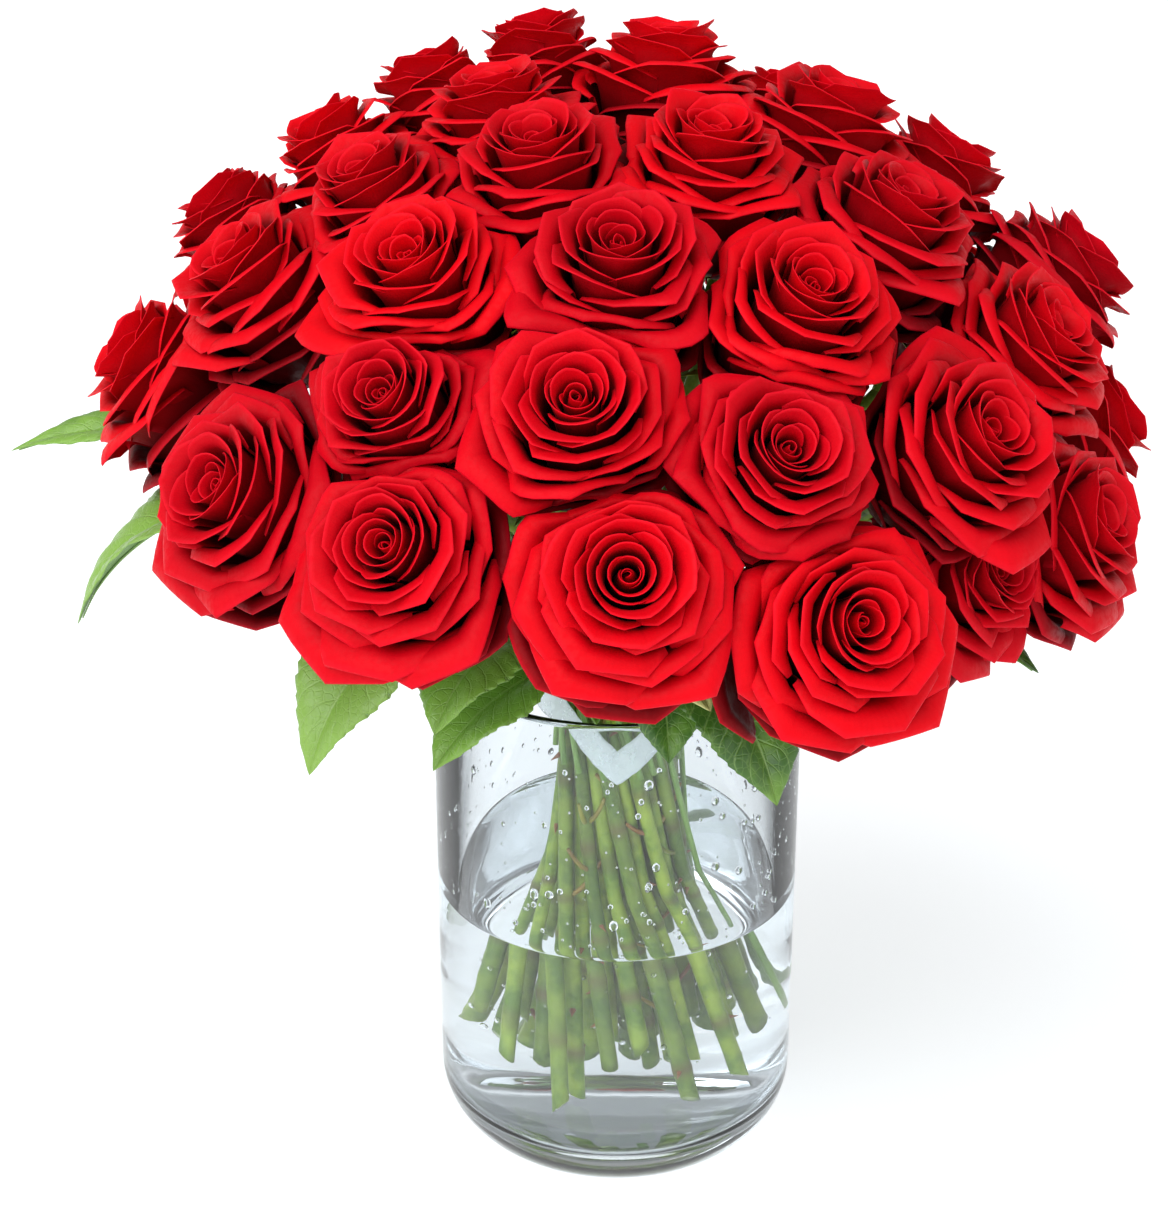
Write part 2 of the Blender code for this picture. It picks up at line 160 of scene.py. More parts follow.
def noise_node(tree, where, scale, detail=2.0, roughness=0.5):
    """Noise read at a place, returned as its value."""
    node = add_node(tree, "ShaderNodeTexNoise")
    feed(tree, where, node.inputs["Vector"])
    feed(tree, scale, node.inputs["Scale"])
    node.inputs["Detail"].default_value = detail
    node.inputs["Roughness"].default_value = roughness
    return node.outputs[0]


# %% Sky with soft lamps painted on it
sky = bpy.data.worlds.new("studio_sky")
bpy.context.scene.world = sky
sky.use_nodes = True
tree = sky.node_tree
backdrop = tree.nodes["Background"]
way = add_node(tree, "ShaderNodeTexCoord").outputs["Generated"]


def lamp_patch(direction, inner, outer, strength):
    """A soft round patch of light on the sky, by the cosine of the angle from its middle."""
    aim = Vector(direction).normalized()
    dot = add_node(tree, "ShaderNodeVectorMath", operation="DOT_PRODUCT")
    feed(tree, way, dot.inputs[0])
    dot.inputs[1].default_value = aim
    return ramp_node(tree, dot.outputs["Value"], outer, inner, 0.0, strength)


WALL_LEVEL = 0.92
CEILING_LEVEL = 0.30
key = lamp_patch((-0.46, -0.66, 0.80), 0.96, 0.66, 3.2)
side = lamp_patch((0.80, -0.45, 0.62), 0.97, 0.80, 0.7)
climb = add_node(tree, "ShaderNodeSeparateXYZ")
feed(tree, way, climb.inputs[0])
walls = ramp_node(tree, climb.outputs["Z"], 0.10, 0.42, WALL_LEVEL, CEILING_LEVEL)
level = math_node(tree, "ADD", math_node(tree, "ADD", key, side), walls)
feed(tree, (0.955, 0.98, 1.0, 1.0), backdrop.inputs["Color"])
feed(tree, level, backdrop.inputs["Strength"])

# %% Floor
FLOOR_REACH = 9.0
floor_mesh = bpy.data.meshes.new("floor")
floor_mesh.from_pydata(
    [(-FLOOR_REACH, -FLOOR_REACH, 0.0), (FLOOR_REACH, -FLOOR_REACH, 0.0),
     (FLOOR_REACH, FLOOR_REACH, 0.0), (-FLOOR_REACH, FLOOR_REACH, 0.0)],
    [], [(0, 1, 2, 3)],
)
floor = bpy.data.objects.new("floor", floor_mesh)
floor.location.z = -0.0003
bpy.context.scene.collection.objects.link(floor)
white_table = bpy.data.materials.new("white_table")
white_table.use_nodes = True
table_shader = white_table.node_tree.nodes["Principled BSDF"]
table_shader.inputs["Base Color"].default_value = (0.72, 0.725, 0.73, 1.0)
table_shader.inputs["Roughness"].default_value = 0.8
table_shader.inputs["Specular IOR Level"].default_value = 0.1
table_shader.inputs["Emission Color"].default_value = (0.98, 0.99, 1.0, 1.0)
table_shader.inputs["Emission Strength"].default_value = 0.46
floor_mesh.materials.append(white_table)

# %% [markdown]
# ## Two effects that many finishes share
#
# Living surfaces are never one colour. A node group called *soft mottle* gives a slow patchy
# mask and a fine one, and is used by petals, leaves and stems. A second group, *skin grain*,
# gives the height of the tiny cells that make a petal velvety and a leaf leathery.


# %% Shared node groups
def new_group(name, inputs, outputs):
    """An empty node group with named sockets. Returns the group, its inputs and its outputs."""
    group = bpy.data.node_groups.new(name, "ShaderNodeTree")
    for label, kind, value in inputs:
        socket = group.interface.new_socket(name=label, in_out="INPUT", socket_type=kind)
        if value is not None:
            socket.default_value = value
    for label, kind in outputs:
        group.interface.new_socket(name=label, in_out="OUTPUT", socket_type=kind)
    entry = group.nodes.new("NodeGroupInput")
    leave = group.nodes.new("NodeGroupOutput")
    return group, entry.outputs, leave.inputs


def object_place(tree):
    """Where a point of the surface lies on its own object, in metres."""
    return add_node(tree, "ShaderNodeTexCoord").outputs["Object"]


soft_mottle, given, result = new_group(
    "soft_mottle",
    [("Patch Scale", "NodeSocketFloat", 60.0), ("Speck Scale", "NodeSocketFloat", 420.0)],
    [("Patches", "NodeSocketFloat"), ("Specks", "NodeSocketFloat")],
)
place = object_place(soft_mottle)
patches = noise_node(soft_mottle, place, given["Patch Scale"], 3.0, 0.55)
specks = noise_node(soft_mottle, place, given["Speck Scale"], 2.0, 0.6)
feed(soft_mottle, ramp_node(soft_mottle, patches, 0.36, 0.64), result["Patches"])
feed(soft_mottle, ramp_node(soft_mottle, specks, 0.40, 0.66), result["Specks"])

skin_grain, given, result = new_group(
    "skin_grain",
    [("Cell Scale", "NodeSocketFloat", 1500.0), ("Wave Scale", "NodeSocketFloat", 160.0)],
    [("Height", "NodeSocketFloat")],
)
place = object_place(skin_grain)
cells = noise_node(skin_grain, place, given["Cell Scale"], 1.0, 0.5)
waves = noise_node(skin_grain, place, given["Wave Scale"], 2.0, 0.5)
both = math_node(skin_grain, "ADD", math_node(skin_grain, "MULTIPLY", cells, 0.35), waves)
feed(skin_grain, both, result["Height"])


def use_group(tree, group, **values):
    """Place a node group, with its inputs given by name (underscores stand for spaces)."""
    node = add_node(tree, "ShaderNodeGroup", node_tree=group)
    for name, value in values.items():
        feed(tree, value, node.inputs[name.replace("_", " ")])
    return node.outputs


def attribute(tree, name):
    """A number stored on every point of a piece."""
    return add_node(tree, "ShaderNodeAttribute", attribute_name=name).outputs["Fac"]


def start_material(name, roughness):
    """A material with its Principled shader, ready for more nodes."""
    material = bpy.data.materials.new(name)
    material.use_nodes = True
    shader = material.node_tree.nodes["Principled BSDF"]
    shader.inputs["Roughness"].default_value = roughness
    return material, material.node_tree, shader


def set_plain(shader, **values):
    """Set a shader's inputs by name (underscores stand for spaces)."""
    for name, value in values.items():
        shader.inputs[name.replace("_", " ")].default_value = value


def stain(tree, mask, strength, colour, stain_colour):
    """Lay one colour over another where a mask says so, at a given strength."""
    return mix_colour(tree, math_node(tree, "MULTIPLY", mask, strength), colour, stain_colour)


def rough_between(tree, shader, mask, low, high):
    """Roughness that moves between two values over the surface, by a mask from 0 to 1."""
    feed(tree, ramp_node(tree, mask, 0.0, 1.0, low, high), shader.inputs["Roughness"])


def add_bump(tree, shader, height, strength, distance):
    """Bump from a height, fed to the shader's normal."""
    bump = add_node(tree, "ShaderNodeBump")
    bump.inputs["Strength"].default_value = strength
    bump.inputs["Distance"].default_value = distance
    feed(tree, height, bump.inputs["Height"])
    feed(tree, bump.outputs["Normal"], shader.inputs["Normal"])


print("node groups", [group.name for group in bpy.data.node_groups])

# %% [markdown]
# ## The petal finish
#
# A red rose petal is velvet: tiny domed cells scatter the light, so it looks soft where it
# faces you and glows along its edges. Shade and light are also painted into its colour: it is
# painted darkest and most blue-red deep in the cup as painted shade, clear scarlet where it
# opens, and slightly pink on the thin rolled rim as a painted highlight. Every petal carries
# four numbers on its points (how far along, how far across, how near the rim, and the tone of
# its rose with the painted shade of its place in the bunch), and the finish reads them.

# %% Petal material
velvet_petal, tree, shader = start_material("velvet_petal", 0.5)
along = attribute(tree, "petal_length")
across = attribute(tree, "petal_width")
rim = attribute(tree, "petal_rim")
tone = attribute(tree, "rose_tone")
mottle = use_group(tree, soft_mottle, Patch_Scale=55.0, Speck_Scale=500.0)

PAINTED_CUP_SHADE = (0.095, 0.0002, 0.0018, 1.0)
OPEN_RED = (0.76, 0.0006, 0.006, 1.0)
DARK_OPEN_RED = (0.50, 0.0008, 0.009, 1.0)
RIM_PAINTED_HIGHLIGHT = (0.88, 0.010, 0.034, 1.0)
open_colour = mix_colour(tree, tone, OPEN_RED, DARK_OPEN_RED)
# Painted shade: the red darkens towards the base of each petal, deep in the cup.
colour = mix_colour(tree, ramp_node(tree, along, 0.46, 0.94), PAINTED_CUP_SHADE, open_colour)
darker = mix_colour(tree, 0.75, colour, (0.70, 0.62, 0.72, 1.0), "MULTIPLY")
colour = stain(tree, mottle["Patches"], 0.38, colour, darker)
vein_wave = add_node(tree, "ShaderNodeTexWave", wave_type="BANDS", bands_direction="X")
vein_place = add_node(tree, "ShaderNodeCombineXYZ")
feed(tree, across, vein_place.inputs[0])
feed(tree, math_node(tree, "MULTIPLY", along, 0.25), vein_place.inputs[1])
feed(tree, vein_place.outputs[0], vein_wave.inputs["Vector"])
vein_wave.inputs["Scale"].default_value = 5.5
vein_wave.inputs["Distortion"].default_value = 2.2
vein_wave.inputs["Detail"].default_value = 2.0
veins = vein_wave.outputs["Fac"]
colour = stain(tree, veins, 0.10, colour, darker)
# Painted highlight: a lighter pink along each petal's rim and upper side edges.
colour = stain(tree, rim, 0.26, colour, RIM_PAINTED_HIGHLIGHT)
feed(tree, colour, shader.inputs["Base Color"])
rough_between(tree, shader, mottle["Specks"], 0.48, 0.66)
set_plain(shader, Specular_IOR_Level=0.08, Sheen_Weight=0.02, Sheen_Roughness=0.35,
          Sheen_Tint=(1.0, 0.30, 0.36, 1.0))
grain = use_group(tree, skin_grain, Cell_Scale=1700.0, Wave_Scale=130.0)["Height"]
height = math_node(tree, "ADD", grain, math_node(tree, "MULTIPLY", veins, 0.12))
add_bump(tree, shader, height, 0.22, 0.0005)

# %% [markdown]
# ## Reading each rose's place
#
# The plain roses are lofts: ring after ring of points from the cut end of the stem to the
# heart of the bloom. Starting from the cut end and stepping from neighbour to neighbour
# gives those rings back in order. Their middles give the line of the stem. All the blooms
# fan out from one point inside the bunch, so a bloom faces away from that point.

# %% Walk the rings of a loft
def unit(vector):
    """The vector at length one."""
    return vector / np.linalg.norm(vector)


def node_points(name):
    """All points of a plain node."""
    mesh = nodes[name].data
    spots = np.zeros(len(mesh.vertices) * 3, np.float32)
    mesh.vertices.foreach_get("co", spots)
    return spots.reshape(-1, 3).astype(float)


def joined_points(name):
    """The separate points of a plain node, and which of them share an edge."""
    spots = node_points(name)
    _, first, index = np.unique(
        np.round(spots, 5), axis=0, return_index=True, return_inverse=True
    )
    index = index.reshape(-1)
    near = [set() for _ in first]
    for polygon in nodes[name].data.polygons:
        corners = [int(index[i]) for i in polygon.vertices]
        for a in corners:
            near[a].update(b for b in corners if b != a)
    return spots[first], near


def walk_rings(near, start):
    """Step from neighbour to neighbour: the rings of a loft in order."""
    rings, seen, edge = [sorted(start)], set(start), set(start)
    while edge:
        edge = {b for a in edge for b in near[a]} - seen
        seen |= edge
        if edge:
            rings.append(sorted(edge))
    return rings


# %% Where each bloom sits
BLOOM_DEPTH = 0.056
CORE_DEPTH = BLOOM_DEPTH * 0.35
HIP_BELOW_BASE = 0.004
SEPAL_DEPTH = 0.86
SEPAL_SHARE = 0.31
STEM_RINGS = 8
FOOT_POINTS = 5
WHOLE_ROSE = 146


def stem_rings(name):
    """Middles of the stem's rings from the cut end to the hip, and all points of the rose."""
    spots, near = joined_points(name)
    foot = np.argsort(spots[:, 2])[:FOOT_POINTS]
    rings = walk_rings(near, {int(i) for i in foot})
    return [spots[ring].mean(axis=0) for ring in rings[:STEM_RINGS + 1]], spots


def meeting_point(starts, ways):
    """The point that lies nearest to all the lines."""
    total, pull = np.zeros((3, 3)), np.zeros(3)
    for start, way in zip(starts, ways):
        flat = np.eye(3) - np.outer(way, way)
        total += flat
        pull += flat @ start
    return np.linalg.solve(total, pull)


read = {name: stem_rings(name) for name in rose_names}
whole = [name for name in rose_names if len(read[name][1]) == WHOLE_ROSE]
hips = [read[name][0][STEM_RINGS] for name in whole]
ways = [unit(read[name][0][STEM_RINGS] - read[name][0][STEM_RINGS - 1]) for name in whole]
fan_point = meeting_point(hips, ways)
print("the blooms fan out from", fan_point.round(4))


class Bloom:
    """Where one rose's bloom sits: the middle of its open face, its axis and its radius."""

    def __init__(self, name):
        middles, spots = read[name]
        hip = middles[STEM_RINGS]
        self.name = name
        self.axis = unit(hip - fan_point)
        self.base = hip + self.axis * HIP_BELOW_BASE
        self.face = self.base + self.axis * BLOOM_DEPTH
        self.stem = middles
        depth = (self.face - spots) @ self.axis
        from_axis = np.linalg.norm(spots + depth[:, None] * self.axis - self.face, axis=1)
        sepals = abs(depth - SEPAL_DEPTH * BLOOM_DEPTH) < 0.0006
        self.radius = from_axis[sepals].max() / SEPAL_SHARE
        up = np.array([0.0, 0.0, 1.0])
        if abs(self.axis[2]) > 0.98:
            up = np.array([0.0, 1.0, 0.0])
        self.first = unit(up - self.axis * np.dot(up, self.axis))
        self.second = np.cross(self.axis, self.first)
        self.core = self.face - self.axis * CORE_DEPTH

    def to_world(self, points):
        """Points given along the bloom's own axes, moved into place."""
        own = np.stack([self.first, self.second, self.axis])
        return points @ own + self.face


blooms = [Bloom(name) for name in rose_names]
print("bloom diameters in mm", [round(bloom.radius * 2000) for bloom in blooms][:10], "...")

# %% [markdown]
# ## How neighbours shape a bloom
#
# Blooms packed in a dome press on each other, and each grows flat sides where it meets the
# next. The border between two blooms is the plane where they would meet if both swelled
# evenly. A petal point that would cross it is drawn in, and the petals inside it move in by
# a share, so they stay in order instead of piling up on the border.

# %% Borders between blooms
OVERLAP_ALLOWED = 0.0010
REACH_OF_NEIGHBOURS = 0.13
CROWD_POWER = 10


def borders_of(bloom):
    """For each close neighbour: the border's normal along the bloom's axes, and its distance."""
    found = []
    for other in blooms:
        across = other.core - bloom.core
        length = np.linalg.norm(across)
        if other is bloom or length > REACH_OF_NEIGHBOURS:
            continue
        normal = across / length
        distance = (length**2 + bloom.radius**2 - other.radius**2) / (2 * length)
        local = (np.dot(normal, bloom.first), np.dot(normal, bloom.second),
                 np.dot(normal, bloom.axis))
        found.append((*local, distance + OVERLAP_ALLOWED))
    return np.array(found)


def smooth(low, high, value):
    """A soft step from 0 at low to 1 at high."""
    share = np.clip((value - low) / (high - low), 0.0, 1.0)
    return share * share * (3 - 2 * share)


def draw_in(bloom, borders, radius, angle, height):
    """Radial places of petal points after the neighbours have pressed on them."""
    crowd = np.zeros_like(radius)
    for side_a, side_b, side_up, distance in borders:
        start = (height + CORE_DEPTH) * side_up
        run = np.cos(angle) * side_a + np.sin(angle) * side_b
        room = np.maximum(distance - start, 0.004) / np.maximum(run, 1e-6)
        crowd += np.where(run > 1e-6, (bloom.radius / room) ** CROWD_POWER, 0.0)
    share = (1.0 + crowd) ** (-1 / CROWD_POWER)
    return radius * (1 + (share - 1) * smooth(0.25, 0.95, radius / bloom.radius))


# %% [markdown]
# ## One petal
#
# A petal starts narrow at the base of the bloom, swells out as a cup, and rolls outwards at
# the top. Outer petals roll hard: the fold is a sharp line, the flap beyond it is almost
# flat, and its outline has straight edges that meet in a point. So the outline is worked out
# as chords between a few corners, and the columns of the petal's grid are moved onto those
# corners to keep them crisp. The grid is given a thickness of a third of a millimetre.

# %% Numbers that shape a petal
CUP_ROWS = np.array([0.0, 0.38, 0.66, 0.86, 1.0])
FLAP_ROWS = np.array([0.18, 0.36, 0.56, 0.78, 0.94, 1.0])
COLUMNS = 17
PETAL_THICKNESS = 0.00036
LENGTH_BELOW_FOLD = 0.72
HEART_FOLD, FOLD_GROWTH = 0.034, 0.79  # of the bloom's radius
HEART_WIDTH, WIDTH_GROWTH = 0.0100, 0.0560
HEART_FLAP, FLAP_GROWTH = 0.0036, 0.0108
HEART_SINK, FACE_SINK, OUTER_SINK = 0.0052, 0.0020, 0.0165
STRAIGHT_SHARE = 0.75
SHOULDER_CUT = 0.12
TIP_ROLL = math.radians(38)
SIDE_ROLL = math.radians(22)
SKEW_ROLL = math.radians(12)
RIM_ROLL = math.radians(30)
BUD_LAYER = 0.08


# %% Outline, cup and flap
def chord_radius(angle, corner_angles, corner_radii):
    """Radius of a closed run of straight chords between corners, read at each angle."""
    place = np.clip(np.searchsorted(corner_angles, angle, side="right") - 1,
                    0, len(corner_angles) - 2)
    a, b = corner_angles[place], corner_angles[place + 1]
    ra, rb = corner_radii[place], corner_radii[place + 1]
    under = ra * np.sin(angle - a) + rb * np.sin(b - angle)
    return ra * rb * np.sin(b - a) / np.maximum(under, 1e-9)


def outline_corners(layer, aside, pointed, rng):
    """Corners across the petal from -1 to 1, how far out each reaches, and the columns."""
    if pointed:
        corners = np.array([-1.0, -0.60 + aside, aside, 0.60 + aside, 1.0])
        shares = np.array([0.25, 0.74, 0.98, 0.74, 0.25])
    else:
        corners = np.array([-1.0, -0.74, -0.27 + aside, 0.27 + aside, 0.74, 1.0])
        shares = np.array([0.25, 0.66, 0.96, 0.92, 0.66, 0.25])
    shoulders = (shares > 0.3) & (shares < 0.8)
    shares = shares - SHOULDER_CUT * float(smooth(0.6, 1.0, layer)) * shoulders
    shares = shares + 0.08 * rng.uniform(-1, 1, len(shares)) * (shares > 0.3)
    columns = np.linspace(-1, 1, COLUMNS)
    for corner in corners[1:-1]:
        columns[np.argmin(abs(columns - corner))] = corner
    return corners, shares, columns


def cup_rows(bloom, fold_radius, fold, fold_top, lean_low, angles):
    """Rows of radius, angle and height from the base of the petal out to its fold."""
    low = np.stack([0.09 * bloom.radius + 0.06 * fold_radius + 0 * fold,
                    0 * fold - BLOOM_DEPTH * 0.98])
    belly = np.stack([0.10 * bloom.radius + 0.84 * fold, 0 * fold - BLOOM_DEPTH * 0.80])
    high = np.stack([fold, fold_top])
    way_in = np.array([math.sin(lean_low), math.cos(lean_low)])[:, None]
    neck = high - way_in * (0.38 * (fold_top + BLOOM_DEPTH))[None]
    rows = []
    for t in CUP_ROWS:
        out, up = ((1 - t) ** 3 * low + 3 * (1 - t) ** 2 * t * belly
                   + 3 * (1 - t) * t * t * neck + t**3 * high)
        narrow = 0.45 + 0.55 * float(smooth(0, 0.7, t))
        rows.append(np.stack([out, angles * narrow, up], axis=-1))
    return rows


def flap_rows(layer, fold, fold_top, length, lean_low, end_lean, angles):
    """Rows of radius, angle and height from the fold on, as the flap rolls over."""
    out, up, done, rows = fold, fold_top, 0.0, []
    for t in FLAP_ROWS:
        middle = (t + done) / 2
        lean = lean_low + (end_lean - lean_low) * float(smooth(-0.12, 0.62, middle))
        lean = lean + TIP_ROLL * layer**1.5 * float(smooth(0.35, 1.0, middle))
        if t == FLAP_ROWS[-1]:
            lean = lean + RIM_ROLL * (1 - 0.6 * layer)
        out = out + length * (t - done) * np.sin(lean)
        up = up + length * (t - done) * np.cos(lean)
        done = t
        rows.append(np.stack([out, angles, up], axis=-1))
    return rows


# %% Petal grid
def petal_grid(bloom, borders, layer, turn, rng, spread=1.0, drop=0.0, flap_share=1.0):
    """Points of one petal, row by row from base to rim. Layer runs from 0 (heart) to 1.

    Spread widens the petal's fold, drop lowers it and flap_share shortens its flap, for
    the guard petals outside.
    """
    wobble = rng.uniform(-1, 1, 10)
    fold_radius = spread * bloom.radius * (HEART_FOLD + FOLD_GROWTH * layer**1.02)
    fold_radius = fold_radius * (1 + 0.05 * wobble[0] * layer)
    top = (-HEART_SINK * math.exp(-(layer / 0.15) ** 2) - FACE_SINK
           - OUTER_SINK * float(smooth(0.34, 1.0, layer)) + 0.0009 * wobble[1] - drop)
    lean_low = math.radians(-18 * math.exp(-(layer / 0.07) ** 2) + 2 + 30 * layer)
    lean_low *= 1 + 0.15 * wobble[2]
    lean_high = math.radians(8 + 78 * float(smooth(0.05, 0.84, layer)) + 10 * wobble[3])
    if layer < BUD_LAYER:
        lean_high = lean_low
    flap = flap_share * (HEART_FLAP + FLAP_GROWTH * layer) * (1 + 0.24 * wobble[4])
    width = (HEART_WIDTH + WIDTH_GROWTH * layer**0.82) * (1 + 0.08 * wobble[5])
    half = min(width / fold_radius / 2, math.radians(160))
    angular = float(smooth(0.22, 0.62, layer))

    corners, shares, columns = outline_corners(layer, 0.16 * wobble[6], wobble[7] > -0.1, rng)
    edge = abs(columns)
    angles = columns * half
    length = flap * np.interp(columns, corners, shares)
    reach_chord = chord_radius(angles, corners * half, fold_radius + flap * shares)
    fold_chord = chord_radius(angles, corners * half, np.full(len(corners), fold_radius))
    fold_shift = STRAIGHT_SHARE * angular * (fold_chord - fold_radius)
    fold = fold_radius * (1 - 0.06 * edge**1.5 * layer) + 0.0011 * columns * (0.5 + layer)
    fold = fold + fold_shift
    straighter = angular * (reach_chord - fold_radius - length) - fold_shift
    length = np.maximum(length + straighter / max(math.sin(lean_high), 0.45), 0.10 * flap)
    fold_top = (top - (0.0008 + 0.0058 * layer) * edge**2.2
                + 0.0007 * np.sin(3.4 * columns + 3 * wobble[8]) * (0.3 + layer))
    end_lean = lean_high + (SIDE_ROLL * edge**2 + SKEW_ROLL * wobble[9] * columns) * layer
    polar = np.stack(
        cup_rows(bloom, fold_radius, fold, fold_top, lean_low, angles)
        + flap_rows(layer, fold, fold_top, length, lean_low, end_lean, angles))

    far, around, height = polar[..., 0], polar[..., 1] + turn, polar[..., 2]
    far = draw_in(bloom, borders, far, around, height)
    grid = np.stack([far * np.cos(around), far * np.sin(around), height], axis=-1)
    share = np.concatenate([CUP_ROWS * LENGTH_BELOW_FOLD,
                            LENGTH_BELOW_FOLD + (1 - LENGTH_BELOW_FOLD) * FLAP_ROWS])
    # Inner petals get a larger share along, so less of the painted cup shade.
    share = share + 0.06 * (1 - layer) * (1 - share)
    marks = {
        "petal_length": np.repeat(share[:, None], COLUMNS, axis=1),
        "petal_width": np.repeat(columns[None, :], len(share), axis=0),
        # Where the painted rim highlight falls: the rim, and the side edges of the upper petal.
        "petal_rim": np.maximum(
            smooth(0.955, 1.0, share)[:, None] + 0 * columns[None, :],
            smooth(0.93, 1.0, edge)[None, :] * smooth(0.5, 0.8, share)[:, None]),
    }
    return grid, marks


# %% Turn a grid into a thin closed skin
def skin_faces(rows, columns):
    """Faces of two grids back to back, joined round their border."""
    count = rows * columns
    index = np.arange(count).reshape(rows, columns)
    front = np.stack([index[:-1, :-1], index[:-1, 1:], index[1:, 1:], index[1:, :-1]], -1)
    front = front.reshape(-1, 4)
    faces = [front, front[:, ::-1] + count]
    for line, flip in ((index[0], 0), (index[-1], 1), (index[:, 0], 1), (index[:, -1], 0)):
        strip = np.stack([line[:-1], line[1:], line[1:] + count, line[:-1] + count], -1)
        faces.append(strip if flip else strip[:, ::-1])
    return np.concatenate(faces)


BORDER_SHARE = 0.35


def thicken(grid, thickness):
    """The two faces of a thin sheet, thinner along its border."""
    run_a = np.gradient(grid, axis=1)
    run_b = np.gradient(grid, axis=0)
    normal = np.cross(run_a, run_b)
    normal /= np.linalg.norm(normal, axis=-1, keepdims=True) + 1e-12
    share = np.ones(grid.shape[:2])
    share[-1, :] = share[:, 0] = share[:, -1] = BORDER_SHARE
    step = normal * thickness / 2 * share[..., None]
    return np.concatenate([(grid + step).reshape(-1, 3), (grid - step).reshape(-1, 3)])


class Gather:
    """Collects the points, faces and stored numbers of many small sheets into one piece."""

    def __init__(self):
        self.points, self.faces, self.marks, self.count = [], [], {}, 0

    def add(self, points, faces, **marks):
        """Add one closed patch with the numbers its points carry."""
        self.points.append(points)
        self.faces.append(faces + self.count)
        self.count += len(points)
        for name, value in marks.items():
            value = np.broadcast_to(np.asarray(value, np.float32), (len(points),))
            self.marks.setdefault(name, []).append(value)

    def sheet(self, grid, thickness, **marks):
        """Add a thin sheet from a grid of points."""
        rows, columns = grid.shape[:2]
        doubled = {name: np.tile(np.broadcast_to(value, (rows, columns)).reshape(-1), 2)
                   for name, value in marks.items()}
        self.add(thicken(grid, thickness), skin_faces(rows, columns), **doubled)

    def build(self, name, material, stands_for=None):
        """Make the object, let it ride with the bouquet and hide the plain node it stands for."""
        points = np.concatenate(self.points).astype(np.float32)
        faces = np.concatenate(self.faces).astype(np.int32)
        mesh = bpy.data.meshes.new(name)
        mesh.vertices.add(len(points))
        mesh.vertices.foreach_set("co", points.reshape(-1))
        mesh.loops.add(faces.size)
        mesh.loops.foreach_set("vertex_index", faces.reshape(-1))
        mesh.polygons.add(len(faces))
        mesh.polygons.foreach_set("loop_start", np.arange(len(faces), dtype=np.int32) * 4)
        mesh.polygons.foreach_set("use_smooth", np.ones(len(faces), bool))
        for label, values in self.marks.items():
            mesh.attributes.new(label, "FLOAT", "POINT").data.foreach_set(
                "value", np.concatenate(values))
        mesh.update(calc_edges=True)
        mesh.validate()
        mesh.materials.append(material)
        piece = bpy.data.objects.new(name, mesh)
        bpy.context.scene.collection.objects.link(piece)
        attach(piece, "root")
        if stands_for:
            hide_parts(stands_for)
        return piece


END_SHARE = 0.04


def tube(path, radii, sides):
    """Points and four-sided faces of a round tube along a path, drawn in at both ends."""
    path = np.asarray(path, float)
    radii = np.broadcast_to(np.asarray(radii, float), (len(path),))
    path = np.concatenate([path[:1], path, path[-1:]])
    radii = np.concatenate([[radii[0] * END_SHARE], radii, [radii[-1] * END_SHARE]])
    ahead = np.gradient(path, axis=0)
    ahead[0], ahead[-1] = ahead[1], ahead[-2]
    ahead /= np.linalg.norm(ahead, axis=1, keepdims=True) + 1e-12
    side = np.cross(ahead[0], [0.31, 0.87, 0.38])
    rings = []
    angle = np.linspace(0, 2 * np.pi, sides, endpoint=False)
    for spot, way_on, radius in zip(path, ahead, radii):
        side = unit(side - way_on * np.dot(side, way_on))
        other = np.cross(way_on, side)
        rings.append(spot + radius * (np.cos(angle)[:, None] * side
                                      + np.sin(angle)[:, None] * other))
    index = np.arange(len(path) * sides).reshape(len(path), sides)
    after = np.roll(index, -1, axis=1)
    faces = np.stack([index[:-1], after[:-1], after[1:], index[1:]], -1).reshape(-1, 4)
    caps = []
    for row, flip in ((index[0], True), (index[-1], False)):
        for i in range(sides // 2 - 1):
            quad = [row[i], row[i + 1], row[sides - 2 - i], row[sides - 1 - i]]
            caps.append(quad[::-1] if flip else quad)
    return np.concatenate(rings), np.concatenate([faces, np.array(caps)])


# %% [markdown]
# ## A whole bloom
#
# Real rose petals are set round the stem at the golden angle, so no petal hides the one
# below it. Working from the heart outwards with that angle gives the spiral at the heart
# and the broad overlapping petals outside. A tight rolled core closes the heart, and a few
# guard petals hang lower outside and fill the gaps between the blooms. The core and the
# guard petals are painted darker, as painted shade deep in the heart and between the blooms.

# %% Blooms
GOLDEN_ANGLE = math.radians(137.508)
GUARD_SHADE = 0.71
GUARD_FLAP = 0.62
GUARD_PETALS = 7
CORE_HEIGHTS = np.array([-0.050, -0.030, -0.018, -0.0125, -0.0100, -0.0094])
CORE_RADII = np.array([0.0040, 0.0055, 0.0034, 0.0020, 0.0009, 0.0001])


